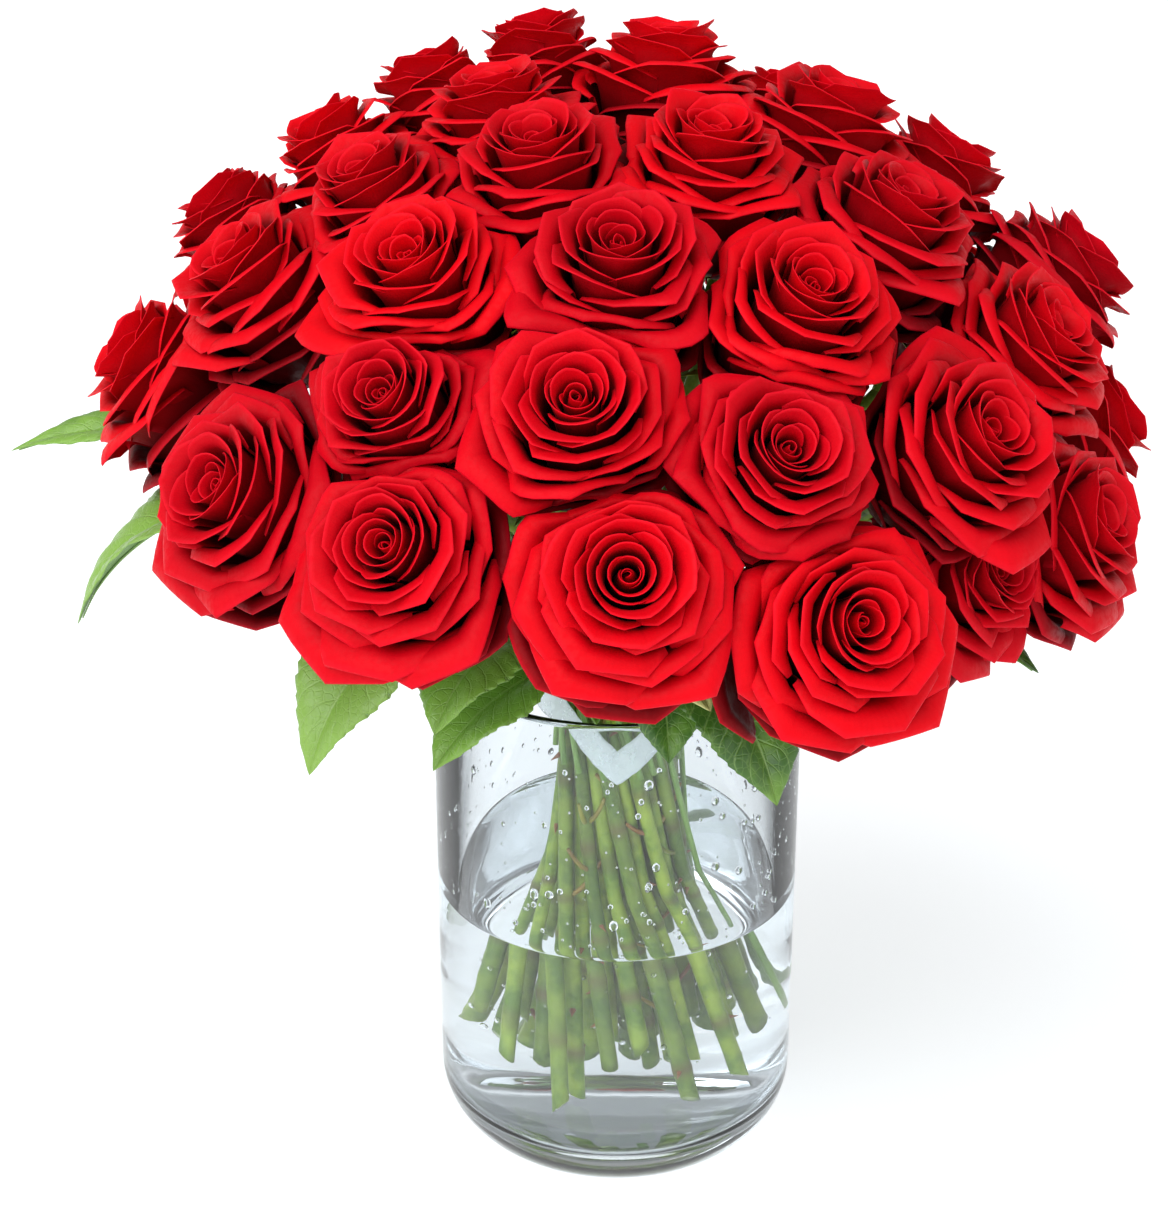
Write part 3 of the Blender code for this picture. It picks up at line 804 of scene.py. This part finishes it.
def build_bloom(number, bloom):
    """All petals of one rose, as one piece."""
    rng = np.random.default_rng(1000 + number)
    petals = Gather()
    borders = borders_of(bloom)
    count = int(rng.integers(29, 34))
    spin = 1 if rng.random() < 0.5 else -1
    start = rng.uniform(0, 2 * math.pi)
    # Painted shade: blooms on the right of the bunch are painted a darker red, on top of each
    # rose's own random tone.
    right_side_shade = float(smooth(0.06, 0.16, bloom.face[0]))
    tone_and_shade_of_rose = float(np.clip(rng.normal(0.22, 0.22) + 0.3 * right_side_shade, 0.0, 0.95))
    for step in range(count):
        layer = step / (count - 1)
        turn = start + spin * step * GOLDEN_ANGLE + rng.uniform(-0.22, 0.22)
        grid, marks = petal_grid(bloom, borders, layer, turn, rng)
        petals.sheet(bloom.to_world(grid), PETAL_THICKNESS, rose_tone=tone_and_shade_of_rose, **marks)
    for step in range(GUARD_PETALS):
        turn = start + spin * (count + step) * GOLDEN_ANGLE + rng.uniform(-0.15, 0.15)
        drop = 0.006 + 0.014 * (step + rng.random()) / GUARD_PETALS
        spread = rng.uniform(0.91, 1.02) + 0.11 * step / GUARD_PETALS
        grid, marks = petal_grid(bloom, borders, 1.0, turn, rng, spread, drop, GUARD_FLAP)
        # Painted shade: guard petals get a smaller share along, so more of the dark painted cup
        # shade, darkening the gaps between blooms.
        marks["petal_length"] = marks["petal_length"] * (GUARD_SHADE - 0.07 * step / GUARD_PETALS)
        # Painted shade: guard petals also take a darker tone.
        petals.sheet(bloom.to_world(grid), PETAL_THICKNESS,
                     rose_tone=min(1.0, tone_and_shade_of_rose + 0.30), **marks)
    core = np.stack([0 * CORE_RADII, 0 * CORE_RADII, CORE_HEIGHTS], axis=-1)
    points, faces = tube(bloom.to_world(core), CORE_RADII, 12)
    # Painted shade: the rolled core is given a share that puts it mostly in the dark painted cup
    # shade.
    petals.add(points, faces, petal_length=0.6, petal_width=0.0, petal_rim=0.0,
               rose_tone=tone_and_shade_of_rose)
    return petals.build(f"{bloom.name}_petals", velvet_petal, bloom.name)


petal_pieces = [build_bloom(number, bloom) for number, bloom in enumerate(blooms)]
print("petal faces", sum(len(piece.data.polygons) for piece in petal_pieces))

# %% [markdown]
# ## Stems, hips and sepals
#
# Under each bloom is a small green hip with five pointed sepals, and below it a long stem
# with a slightly swollen joint every few centimetres, a few thorns, the stubs of stripped
# leaf stalks under the bloom, and a slanting cut at the foot. All of it is one green
# growth, so it is one piece for each rose.

# %% Stem material
green_stem, tree, shader = start_material("green_stem", 0.42)
mottle = use_group(tree, soft_mottle, Patch_Scale=70.0, Speck_Scale=650.0)
joint = attribute(tree, "stem_joint")
pith = attribute(tree, "cut_end")
blush = attribute(tree, "thorn_blush")
STEM_GREEN = (0.110, 0.215, 0.014, 1.0)
STEM_LIGHT = (0.370, 0.500, 0.050, 1.0)
STEM_DARK = (0.035, 0.080, 0.014, 1.0)
STEM_SPECK = (0.30, 0.46, 0.09, 1.0)
JOINT_BROWN = (0.120, 0.085, 0.030, 1.0)
PITH_PALE = (0.50, 0.58, 0.30, 1.0)
THORN_RED = (0.26, 0.055, 0.030, 1.0)
shade = attribute(tree, "stem_shade")
colour = mix_colour(tree, mottle["Patches"], STEM_GREEN, STEM_LIGHT)
colour = mix_colour(tree, shade, colour, STEM_DARK)
colour = stain(tree, mottle["Specks"], 0.22, colour, STEM_SPECK)
colour = stain(tree, joint, 0.8, colour, JOINT_BROWN)
colour = mix_colour(tree, blush, colour, THORN_RED)
colour = mix_colour(tree, pith, colour, PITH_PALE)
feed(tree, colour, shader.inputs["Base Color"])
rough_between(tree, shader, mottle["Specks"], 0.34, 0.55)
set_plain(shader, Specular_IOR_Level=0.4)
grain = use_group(tree, skin_grain, Cell_Scale=1100.0, Wave_Scale=240.0)["Height"]
add_bump(tree, shader, grain, 0.4, 0.0008)


# %% Stems
def smooth_path(knots, steps):
    """A smooth curve through the knots, with a number of steps between each two."""
    knots = np.asarray(knots, float)
    spaced = np.concatenate([[2 * knots[0] - knots[1]], knots, [2 * knots[-1] - knots[-2]]])
    path = []
    for i in range(1, len(spaced) - 2):
        p0, p1, p2, p3 = spaced[i - 1:i + 3]
        lengths = [max(np.linalg.norm(b - a), 1e-6) ** 0.5
                   for a, b in ((p0, p1), (p1, p2), (p2, p3))]
        t0, t1 = 0.0, lengths[0]
        t2 = t1 + lengths[1]
        t3 = t2 + lengths[2]
        for k in range(steps):
            t = t1 + (t2 - t1) * k / steps
            a1 = (t1 - t) / (t1 - t0) * p0 + (t - t0) / (t1 - t0) * p1
            a2 = (t2 - t) / (t2 - t1) * p1 + (t - t1) / (t2 - t1) * p2
            a3 = (t3 - t) / (t3 - t2) * p2 + (t - t2) / (t3 - t2) * p3
            b1 = (t2 - t) / (t2 - t0) * a1 + (t - t0) / (t2 - t0) * a2
            b2 = (t3 - t) / (t3 - t1) * a2 + (t - t1) / (t3 - t1) * a3
            path.append((t2 - t) / (t2 - t1) * b1 + (t - t1) / (t2 - t1) * b2)
    path.append(knots[-1])
    return np.array(path)


STEM_RADIUS = 0.00315
JOINT_SPACING = 0.047
SHOOT_REACH = 0.054


def add_stem(green, bloom, rng):
    """The stem from its slanting cut to the hip, with joints and thorns."""
    path = smooth_path(bloom.stem, 7)
    steps = np.linalg.norm(np.diff(path, axis=0), axis=1)
    keep = np.concatenate([[True], steps > 1e-6])
    path = path[keep]
    run = np.concatenate([[0.0], np.cumsum(np.linalg.norm(np.diff(path, axis=0), axis=1))])
    dense = np.arange(0.0, run[-1], 0.0045)
    path = np.stack([np.interp(dense, run, path[:, i]) for i in range(3)], axis=-1)
    offset = rng.uniform(0.01, JOINT_SPACING)
    to_joint = abs((dense - offset + JOINT_SPACING / 2) % JOINT_SPACING - JOINT_SPACING / 2)
    bulge = np.exp(-(to_joint / 0.0024) ** 2)
    thick = STEM_RADIUS * rng.uniform(0.90, 1.0)
    radii = thick * (1 + 0.13 * bulge)
    points, faces = tube(path, radii, 10)
    joints = np.repeat(np.concatenate([bulge[:1], bulge, bulge[-1:]]), 10)
    marks = np.zeros(len(points))
    marks[:10] = 1.0
    slant = unit(rng.normal(size=3))
    foot, up_stem = path[0], unit(path[1] - path[0])
    low = (points - foot) @ up_stem < 0.001
    points[low] += up_stem * ((points[low] - foot) @ slant)[:, None]
    shade = rng.uniform(0.0, 0.9) ** 1.6
    green.add(points, faces, stem_joint=joints, cut_end=marks, thorn_blush=0.0,
              stem_shade=shade)
    for _ in range(int(rng.integers(1, 4))):
        spot = rng.integers(3, len(path) // 2)
        ahead = unit(path[spot + 1] - path[spot])
        side = unit(np.cross(ahead, rng.normal(size=3)))
        length = rng.uniform(0.006, 0.015)
        tip = path[spot] + side * length + ahead * length * 0.9
        if np.hypot(tip[0], tip[1]) > SHOOT_REACH:
            side = -side
        t = np.linspace(0, 1, 6)[:, None]
        line = path[spot] + side * length * t + ahead * length * (0.3 * t + 0.7 * t * t)
        shoot, sides = tube(line, np.linspace(0.0011, 0.0007, 6), 8)
        green.add(shoot, sides, stem_joint=0.2, cut_end=0.0, thorn_blush=rng.uniform(0.2, 0.9),
                  stem_shade=0.0)
    for _ in range(int(rng.integers(3, 6))):
        spot = rng.integers(3, len(path) - 8)
        ahead = unit(path[spot + 1] - path[spot])
        side = unit(np.cross(ahead, rng.normal(size=3)))
        root = path[spot] + side * thick * 0.7
        tip = root + side * 0.0042 - ahead * 0.0020
        line = np.array([root, root + (tip - root) * 0.35, root + (tip - root) * 0.72, tip])
        thorn, sides = tube(line, np.array([0.0013, 0.0008, 0.0004, 0.00012]), 6)
        green.add(thorn, sides, stem_joint=0.0, cut_end=0.0, thorn_blush=0.85,
                  stem_shade=0.0)


def add_sepals(green, bloom, rng):
    """The hip and five sepals that curl back from the base of the bloom."""
    heights = np.array([-0.067, -0.0645, -0.061, -0.057, -0.0535, -0.051])
    radii = np.array([0.0030, 0.0040, 0.0054, 0.0062, 0.0064, 0.0040])
    line = np.stack([0 * heights, 0 * heights, heights], axis=-1)
    points, faces = tube(bloom.to_world(line), radii, 12)
    green.add(points, faces, stem_joint=0.0, cut_end=0.0, thorn_blush=0.0, stem_shade=0.0)
    turn = rng.uniform(0, 2 * math.pi)
    t = np.linspace(0, 1, 9)[:, None]
    u = np.linspace(-1, 1, 5)[None, :]
    for step in range(5):
        length = rng.uniform(0.022, 0.030)
        curl = rng.uniform(0.5, 1.5)
        angle = turn + step * math.radians(72) + rng.uniform(-0.15, 0.15)
        lean = 0.9 + curl * t
        out = 0.0058 + length * np.cumsum(np.sin(lean), axis=0) / 9
        up = -0.0550 + length * np.cumsum(np.cos(lean), axis=0) / 9
        wide = 0.0036 * (1 - t) ** 0.8 * (1 + 0.12 * np.sin(14 * t))
        fold = 0.0008 * u * u * (1 - t)
        side = wide * u
        grid = np.stack([
            (out + 0 * u) * math.cos(angle) - side * math.sin(angle),
            (out + 0 * u) * math.sin(angle) + side * math.cos(angle),
            up + fold + 0 * side], axis=-1)
        green.sheet(bloom.to_world(grid), 0.0005, stem_joint=0.0 * t, cut_end=0.0 * t,
                    thorn_blush=0.0 * t, stem_shade=0.0 * t)


for number, bloom in enumerate(blooms):
    rng = np.random.default_rng(3000 + number)
    green = Gather()
    add_stem(green, bloom, rng)
    add_sepals(green, bloom, rng)
    green.build(f"{bloom.name}_stem", green_stem, None)
print("stems", len(blooms))

# %% [markdown]
# ## Leaves
#
# A rose leaflet is an oval blade folded along its midrib, with veins that run out to a
# toothed edge. The plain leaf gives the line of the midrib and both edges at six places. A
# finer grid is drawn through them, the edge gets its teeth, and the blade swells a little
# between the veins. The finish is satin on top and paler and duller below.

# %% Leaf material
satin_leaf, tree, shader = start_material("satin_leaf", 0.35)
along = attribute(tree, "leaf_length")
across = attribute(tree, "leaf_width")
under = attribute(tree, "leaf_underside")
ripe = attribute(tree, "leaf_ripeness")
mottle = use_group(tree, soft_mottle, Patch_Scale=45.0, Speck_Scale=500.0)
from_middle = math_node(tree, "ABSOLUTE", across)
sweep = math_node(tree, "SUBTRACT", math_node(tree, "MULTIPLY", along, 9.0),
                  math_node(tree, "MULTIPLY", from_middle, 2.1))
wiggle = noise_node(tree, object_place(tree), 120.0, 2.0, 0.5)
sweep = math_node(tree, "ADD", sweep, math_node(tree, "MULTIPLY", wiggle, 0.5))
to_vein = math_node(tree, "PINGPONG", sweep, 0.5)
side_veins = ramp_node(tree, to_vein, 0.075, 0.0)
midrib = ramp_node(tree, from_middle, 0.045, 0.012)
all_veins = math_node(tree, "MAXIMUM", math_node(tree, "MULTIPLY", side_veins, 0.55), midrib)
net = add_node(tree, "ShaderNodeTexVoronoi", feature="DISTANCE_TO_EDGE")
feed(tree, object_place(tree), net.inputs["Vector"])
net.inputs["Scale"].default_value = 330.0
net_lines = ramp_node(tree, net.outputs["Distance"], 0.10, 0.0)

LEAF_DEEP = (0.030, 0.105, 0.012, 1.0)
LEAF_MID = (0.190, 0.360, 0.045, 1.0)
LEAF_CREAM = (0.62, 0.60, 0.22, 1.0)
VEIN_PALE = (0.30, 0.47, 0.13, 1.0)
UNDER_PALE = (0.24, 0.40, 0.17, 1.0)
fresh = math_node(tree, "ADD", math_node(tree, "MULTIPLY", mottle["Patches"], 0.45), ripe)
colour = mix_colour(tree, ramp_node(tree, fresh, 0.05, 0.85), LEAF_DEEP, LEAF_MID)
colour = mix_colour(tree, ramp_node(tree, ripe, 1.0, 2.0), colour, LEAF_CREAM)
colour = stain(tree, net_lines, 0.18, colour, VEIN_PALE)
colour = stain(tree, all_veins, 0.65, colour, VEIN_PALE)
colour = stain(tree, under, 0.7, colour, UNDER_PALE)
feed(tree, colour, shader.inputs["Base Color"])
dull = math_node(tree, "ADD", math_node(tree, "MULTIPLY", under, 0.25),
                 ramp_node(tree, mottle["Specks"], 0.0, 1.0, 0.30, 0.46))
feed(tree, dull, shader.inputs["Roughness"])
set_plain(shader, Specular_IOR_Level=0.5)
grain = use_group(tree, skin_grain, Cell_Scale=1300.0, Wave_Scale=200.0)["Height"]
height = math_node(tree, "SUBTRACT", math_node(tree, "MULTIPLY", grain, 0.6), all_veins)
height = math_node(tree, "SUBTRACT", height, math_node(tree, "MULTIPLY", net_lines, 0.25))
add_bump(tree, shader, height, 0.5, 0.0006)

# %% Leaves
LEAF_ROWS = 61
LEAF_COLUMNS = 17
TEETH = 17
ripeness = {"leaf_01": 1.12, "leaf_02": 0.80, "leaf_03": 0.65, "leaf_04": 0.55,
            "leaf_05": 0.10, "leaf_06": 0.20, "leaf_07": 2.0, "leaf_08": 0.10,
            "leaf_09": 1.10, "leaf_10": 0.50}


def leaf_stations(name):
    """Left edge, midrib and right edge of the blade at each station, and the stalk's line."""
    spots, near = joined_points(name)
    for start in range(len(spots)):
        rings = walk_rings(near, {start})
        if len(rings) > 10 and all(len(ring) == 6 for ring in rings[1:8]):
            break
    else:
        raise RuntimeError(f"no blade found in {name}")
    rings = [spots[ring] for ring in rings]
    tip, blade, stalk = rings[0][0], rings[1:7][::-1], rings[7:][::-1]
    left, middle, right, last_side = [], [], [], None
    for ring in blade:
        centre = ring.mean(axis=0)
        side = np.linalg.svd(ring - centre)[2][0]
        if last_side is not None and np.dot(side, last_side) < 0:
            side = -side
        last_side = side
        order = np.argsort((ring - centre) @ side)
        left.append(ring[order[:2]].mean(axis=0))
        middle.append(ring[order[2:4]].mean(axis=0))
        right.append(ring[order[4:]].mean(axis=0))
    for line in (left, middle, right):
        line.append(tip)
    return (np.array(left), np.array(middle), np.array(right),
            [ring.mean(axis=0) for ring in stalk])


def resample(path, count):
    """A path with evenly spaced steps of its own parameter."""
    place = np.linspace(0, len(path) - 1, count)
    return np.stack([np.interp(place, np.arange(len(path)), path[:, i])
                     for i in range(3)], axis=-1)


def build_leaf(number, name):
    """Blade and stalk of one leaf, as one piece."""
    rng = np.random.default_rng(5000 + number)
    left, middle, right, stalk = leaf_stations(name)
    left, middle, right = (resample(smooth_path(line, 10), LEAF_ROWS)
                           for line in (left, middle, right))
    t = np.linspace(0, 1, LEAF_ROWS)
    teeth = 1 - 0.075 * ((t * TEETH) % 1.0) * smooth(0.06, 0.2, t) * smooth(1.0, 0.9, t)
    wave = 0.0014 * np.sin(t * 13 + rng.uniform(0, 6)) * np.sin(t * math.pi)
    ahead = np.gradient(middle, axis=0)
    lift = np.cross(right - left, ahead)
    lift /= np.linalg.norm(lift, axis=1, keepdims=True) + 1e-12
    if lift[LEAF_ROWS // 3, 2] < 0:
        lift = -lift
    u = np.linspace(-1, 1, LEAF_COLUMNS)
    grid = np.zeros((LEAF_ROWS, LEAF_COLUMNS, 3))
    for column, place in enumerate(u):
        edge = left if place < 0 else right
        share = abs(place) * np.where(abs(place) > 0.99, teeth, 1.0)
        belly = 0.0022 * np.sin(abs(place) * math.pi) * np.sin(t * math.pi)
        ripple = 0.0004 * np.cos(2 * math.pi * (t * 9 - abs(place) * 2.1)) * abs(place) ** 0.5
        rise = belly + ripple * np.sin(t * math.pi) + wave * place**2 * (1 if place < 0 else -1)
        grid[:, column] = middle + (edge - middle) * share[:, None] + lift * rise[:, None]
    leaf = Gather()
    points = thicken(grid, 0.00042)
    count = LEAF_ROWS * LEAF_COLUMNS
    underside = np.zeros(2 * count)
    first_normal = points[count // 2] - points[count + count // 2]
    if np.dot(first_normal, lift[LEAF_ROWS // 2]) > 0:
        underside[count:] = 1.0
    else:
        underside[:count] = 1.0
    ripe_value = ripeness.get(name, 0.25)
    leaf.add(points, skin_faces(LEAF_ROWS, LEAF_COLUMNS),
             leaf_length=np.tile(np.repeat(t, LEAF_COLUMNS), 2),
             leaf_width=np.tile(np.tile(u, LEAF_ROWS), 2),
             leaf_underside=underside, leaf_ripeness=ripe_value)
    line = smooth_path(np.array(stalk + [middle[0], middle[4]]), 6)
    points, faces = tube(line, 0.00125, 8)
    leaf.add(points, faces, leaf_length=0.5, leaf_width=0.3, leaf_underside=0.3,
             leaf_ripeness=0.5)
    rib, faces = tube(middle[2:-2], np.linspace(0.0010, 0.0003, LEAF_ROWS - 4), 6)
    leaf.add(rib - np.repeat(lift[[2] + list(range(2, LEAF_ROWS - 2)) + [-3]], 6, axis=0) * 0.0006,
             faces, leaf_length=0.5, leaf_width=0.0, leaf_underside=0.6,
             leaf_ripeness=ripe_value)
    return leaf.build(f"{name}_blade", satin_leaf, name)


leaf_pieces = [build_leaf(number, name) for number, name in enumerate(leaf_names)]
print("leaves", len(leaf_pieces))

# %% [markdown]
# ## The vase
#
# The vase is a straight cylinder of clear glass with a heavy rounded foot. Glass is turned
# on an axis, so the piece is a profile spun round: down the inside, across the thick floor,
# and up the outside. The measures come from the plain vase. The finish is plain clear glass
# with a faint cool tint, and it lets light from the lamps through to the stems.


# %% Glass materials
def clear_material(name, tint, roughness, index, see_through):
    """Clear glass or water that lets lamp light pass to what is behind it."""
    material, tree, shader = start_material(name, roughness)
    set_plain(shader, Base_Color=(*tint, 1.0), Transmission_Weight=1.0, IOR=index)
    path = add_node(tree, "ShaderNodeLightPath")
    clear = add_node(tree, "ShaderNodeBsdfTransparent")
    clear.inputs["Color"].default_value = (*see_through, 1.0)
    both = add_node(tree, "ShaderNodeMixShader")
    tree.links.new(path.outputs["Is Shadow Ray"], both.inputs["Fac"])
    tree.links.new(shader.outputs["BSDF"], both.inputs[1])
    tree.links.new(clear.outputs["BSDF"], both.inputs[2])
    output = tree.nodes["Material Output"]
    tree.links.new(both.outputs[0], output.inputs["Surface"])
    return material, tree, shader


vase_glass, tree, shader = clear_material(
    "vase_glass", (0.93, 0.962, 0.984), 0.0, 1.47, (0.97, 0.985, 0.995))
smears = noise_node(tree, object_place(tree), 26.0, 4.0, 0.6)
feed(tree, ramp_node(tree, smears, 0.45, 0.75, 0.0, 0.05), shader.inputs["Roughness"])
drift = noise_node(tree, object_place(tree), 11.0, 2.0, 0.5)
add_bump(tree, shader, drift, 0.10, 0.002)

# %% Vase
TURN_STEPS = 144


def arc(centre_out, centre_up, radius, start, end, steps):
    """Points on an arc of a profile, with angles in degrees."""
    angle = np.radians(np.linspace(start, end, steps))
    return np.stack([centre_out + radius * np.cos(angle), centre_up + radius * np.sin(angle)], -1)


def spin(profile, steps=TURN_STEPS):
    """Points and faces of a profile spun round the upright axis."""
    angle = np.linspace(0, 2 * np.pi, steps, endpoint=False)
    out, up = profile[:, 0][:, None], profile[:, 1][:, None]
    points = np.stack([out * np.cos(angle), out * np.sin(angle), up + 0 * angle], -1)
    index = np.arange(len(profile) * steps).reshape(len(profile), steps)
    after = np.roll(index, -1, axis=1)
    faces = np.stack([index[:-1], after[:-1], after[1:], index[1:]], -1).reshape(-1, 4)
    return points.reshape(-1, 3), faces


vase_spots = node_points("vase")
vase_out = np.hypot(vase_spots[:, 0], vase_spots[:, 1])
vase_radius = vase_out.max()
vase_height = vase_spots[:, 2].max()
wall_inside = vase_out[(vase_spots[:, 2] > vase_height * 0.6)].min()
GAP_UNDER_WATER = 0.0003
glass_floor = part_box("water")[0].z - GAP_UNDER_WATER
wall = vase_radius - wall_inside
print("vase radius, height, wall, floor in mm",
      [round(1000 * x, 1) for x in (vase_radius, vase_height, wall, glass_floor)])
OUTER_CORNER = 0.028
INNER_CORNER = 0.022
PINHOLE = 0.00002
profile = np.concatenate([
    [[PINHOLE, glass_floor]],
    arc(wall_inside - INNER_CORNER, glass_floor + INNER_CORNER, INNER_CORNER, -90, 0, 16),
    arc(vase_radius - wall / 2, vase_height - wall / 2, wall / 2, 180, 0, 12),
    arc(vase_radius - OUTER_CORNER, OUTER_CORNER, OUTER_CORNER, 0, -90, 20),
    [[PINHOLE, 0.0]],
])
vase = Gather()
points, faces = spin(profile)
vase.add(points, faces[:, ::-1])
vase.build("glass_vase", vase_glass, "vase")

# %% [markdown]
# ## Water, droplets and the clear tape
#
# Water that touches glass has no air between, so its side and bottom reach a hair into the
# glass, and its top climbs a little where it meets the wall. Small droplets cling to the
# glass above the water, and tiny bubbles of trapped air cling to the stems below it. A
# strip of clear tape holds the stems together under the flowers, and sags in front.

# %% Water
clear_water, tree, shader = clear_material(
    "clear_water", (0.992, 0.997, 0.998), 0.0, 1.333, (0.985, 0.99, 0.995))
swell = noise_node(tree, object_place(tree), 40.0, 2.0, 0.5)
add_bump(tree, shader, swell, 0.12, 0.002)
water_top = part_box("water")[1].z
INTO_GLASS = 0.0003
water_side = wall_inside + INTO_GLASS
water_corner = INNER_CORNER + INTO_GLASS
rise_in = np.linspace(0.0, 0.010, 10)
rim_curve = np.stack([water_side - rise_in[::-1],
                      water_top + 0.0016 * np.exp(-rise_in[::-1] / 0.0018)], -1)
profile = np.concatenate([
    [[PINHOLE, water_top]],
    rim_curve,
    [[water_side, water_top + 0.0014], [water_side, water_top + 0.0004],
     [water_side, water_top - 0.004]],
    arc(water_side - water_corner, glass_floor + INNER_CORNER, water_corner, 0, -90, 16),
    [[PINHOLE, glass_floor - INTO_GLASS]],
])
water = Gather()
points, faces = spin(profile)
water.add(points, faces[:, ::-1])
water.build("vase_water", clear_water, "water")

# %% Droplets on the glass
DROPLETS = 420
rng = np.random.default_rng(77)
drops = Gather()
for _ in range(DROPLETS):
    around = rng.uniform(0, 2 * math.pi)
    height = water_top + 0.004 + (vase_height - 0.016 - water_top) * rng.beta(1.1, 1.4)
    size = 0.00035 + 0.0013 * rng.random() ** 3
    out = np.array([math.cos(around), math.sin(around), 0.0])
    seat = out * (wall_inside + size * 0.15) + np.array([0, 0, height])
    line = np.array([seat, seat - out * size * 0.5, seat - out * size * 0.85])
    points, faces = tube(line, size * np.array([1.15, 0.95, 0.45]), 8)
    points[:, 2] += (points[:, 2] - height) * rng.uniform(0.0, 0.5)
    drops.add(points, faces)
drops.build("water_droplets", clear_water, None)

# %% Air bubbles on the stems
trapped_air, tree, shader = clear_material(
    "trapped_air", (1.0, 1.0, 1.0), 0.0, 0.75, (0.96, 0.98, 1.0))
swell = noise_node(tree, object_place(tree), 300.0, 1.0, 0.5)
add_bump(tree, shader, swell, 0.1, 0.0003)
BUBBLES = 260
bubbles = Gather()
stem_paths = [smooth_path(bloom.stem, 12) for bloom in blooms]
for _ in range(BUBBLES):
    path = stem_paths[int(rng.integers(len(stem_paths)))]
    below = water_top - 0.003 - 0.080 * rng.random() ** 1.8
    spot = path[np.argmin(abs(path[:, 2] - below))]
    around = rng.uniform(0, 2 * math.pi)
    out = np.array([math.cos(around), math.sin(around), 0.0])
    size = 0.0004 + 0.0008 * rng.random() ** 2
    seat = spot + out * (STEM_RADIUS + size * 0.9)
    arch = np.linspace(0.12, math.pi - 0.12, 7)
    line = seat[None] + np.stack([0 * arch, 0 * arch, -size * np.cos(arch)], -1)
    points, faces = tube(line, size * np.sin(arch), 10)
    if np.hypot(*seat[:2]) < wall_inside - 0.004 and seat[2] < water_top - 0.003:
        bubbles.add(points, faces)
bubbles.build("stem_bubbles", trapped_air, None)

# %% Clear tape
clear_tape, tree, shader = clear_material(
    "clear_tape", (0.90, 0.96, 0.99), 0.2, 1.35, (0.85, 0.9, 0.9))
set_plain(shader, Transmission_Weight=0.40)
creases = noise_node(tree, object_place(tree), 210.0, 3.0, 0.6)
feed(tree, ramp_node(tree, creases, 0.3, 0.7, 0.10, 0.34), shader.inputs["Roughness"])
add_bump(tree, shader, creases, 0.5, 0.0012)
tape_spots = node_points("binding_tie")
tape_out = np.hypot(tape_spots[:, 0], tape_spots[:, 1])
tape_inner, tape_outer = tape_out.min(), tape_out.max()
tape_angle = np.arctan2(tape_spots[:, 1], tape_spots[:, 0])
steps = 120
angle = np.linspace(0, 2 * np.pi, steps + 1)
low_edge, high_edge = [], []
for a in angle:
    gap = abs((tape_angle - a + np.pi) % (2 * np.pi) - np.pi)
    close = tape_spots[gap < np.radians(7.0), 2]
    low_edge.append(close.min())
    high_edge.append(close.max())
low_edge, high_edge = np.array(low_edge), np.array(high_edge)
FRONT = 1.5 * math.pi
SAG = 0.017
SAG_REACH = 0.75
sagging = np.clip(1 - abs(angle - FRONT) / SAG_REACH, 0, 1)
low_edge = low_edge - SAG * sagging
high_edge = high_edge - 1.15 * SAG * sagging
rows = 9
share = np.linspace(0, 1, rows)[:, None]
height = low_edge + (high_edge - low_edge) * share
crumple = 0.00012 * np.sin(angle * 23 + share * 5) + 0.0001 * np.sin(angle * 51 - share * 9)
out = (tape_inner + tape_outer) / 2 + crumple * np.sin(share * math.pi + 0.4)
out = out + 0.006 * sagging * (1 - 0.6 * share)
tape = Gather()
tape.sheet(np.stack([out * np.cos(angle), out * np.sin(angle), height], -1), 0.0003)
tape.build("clear_tape_loop", clear_tape, "binding_tie")

# %% [markdown]
#
# The dressed bouquet has to stay the size of the measured model. The box of the measured
# model is written down.

# %% Write the measured box and finish
print("cad box", [[round(x, 4) for x in corner] for corner in measured_box])
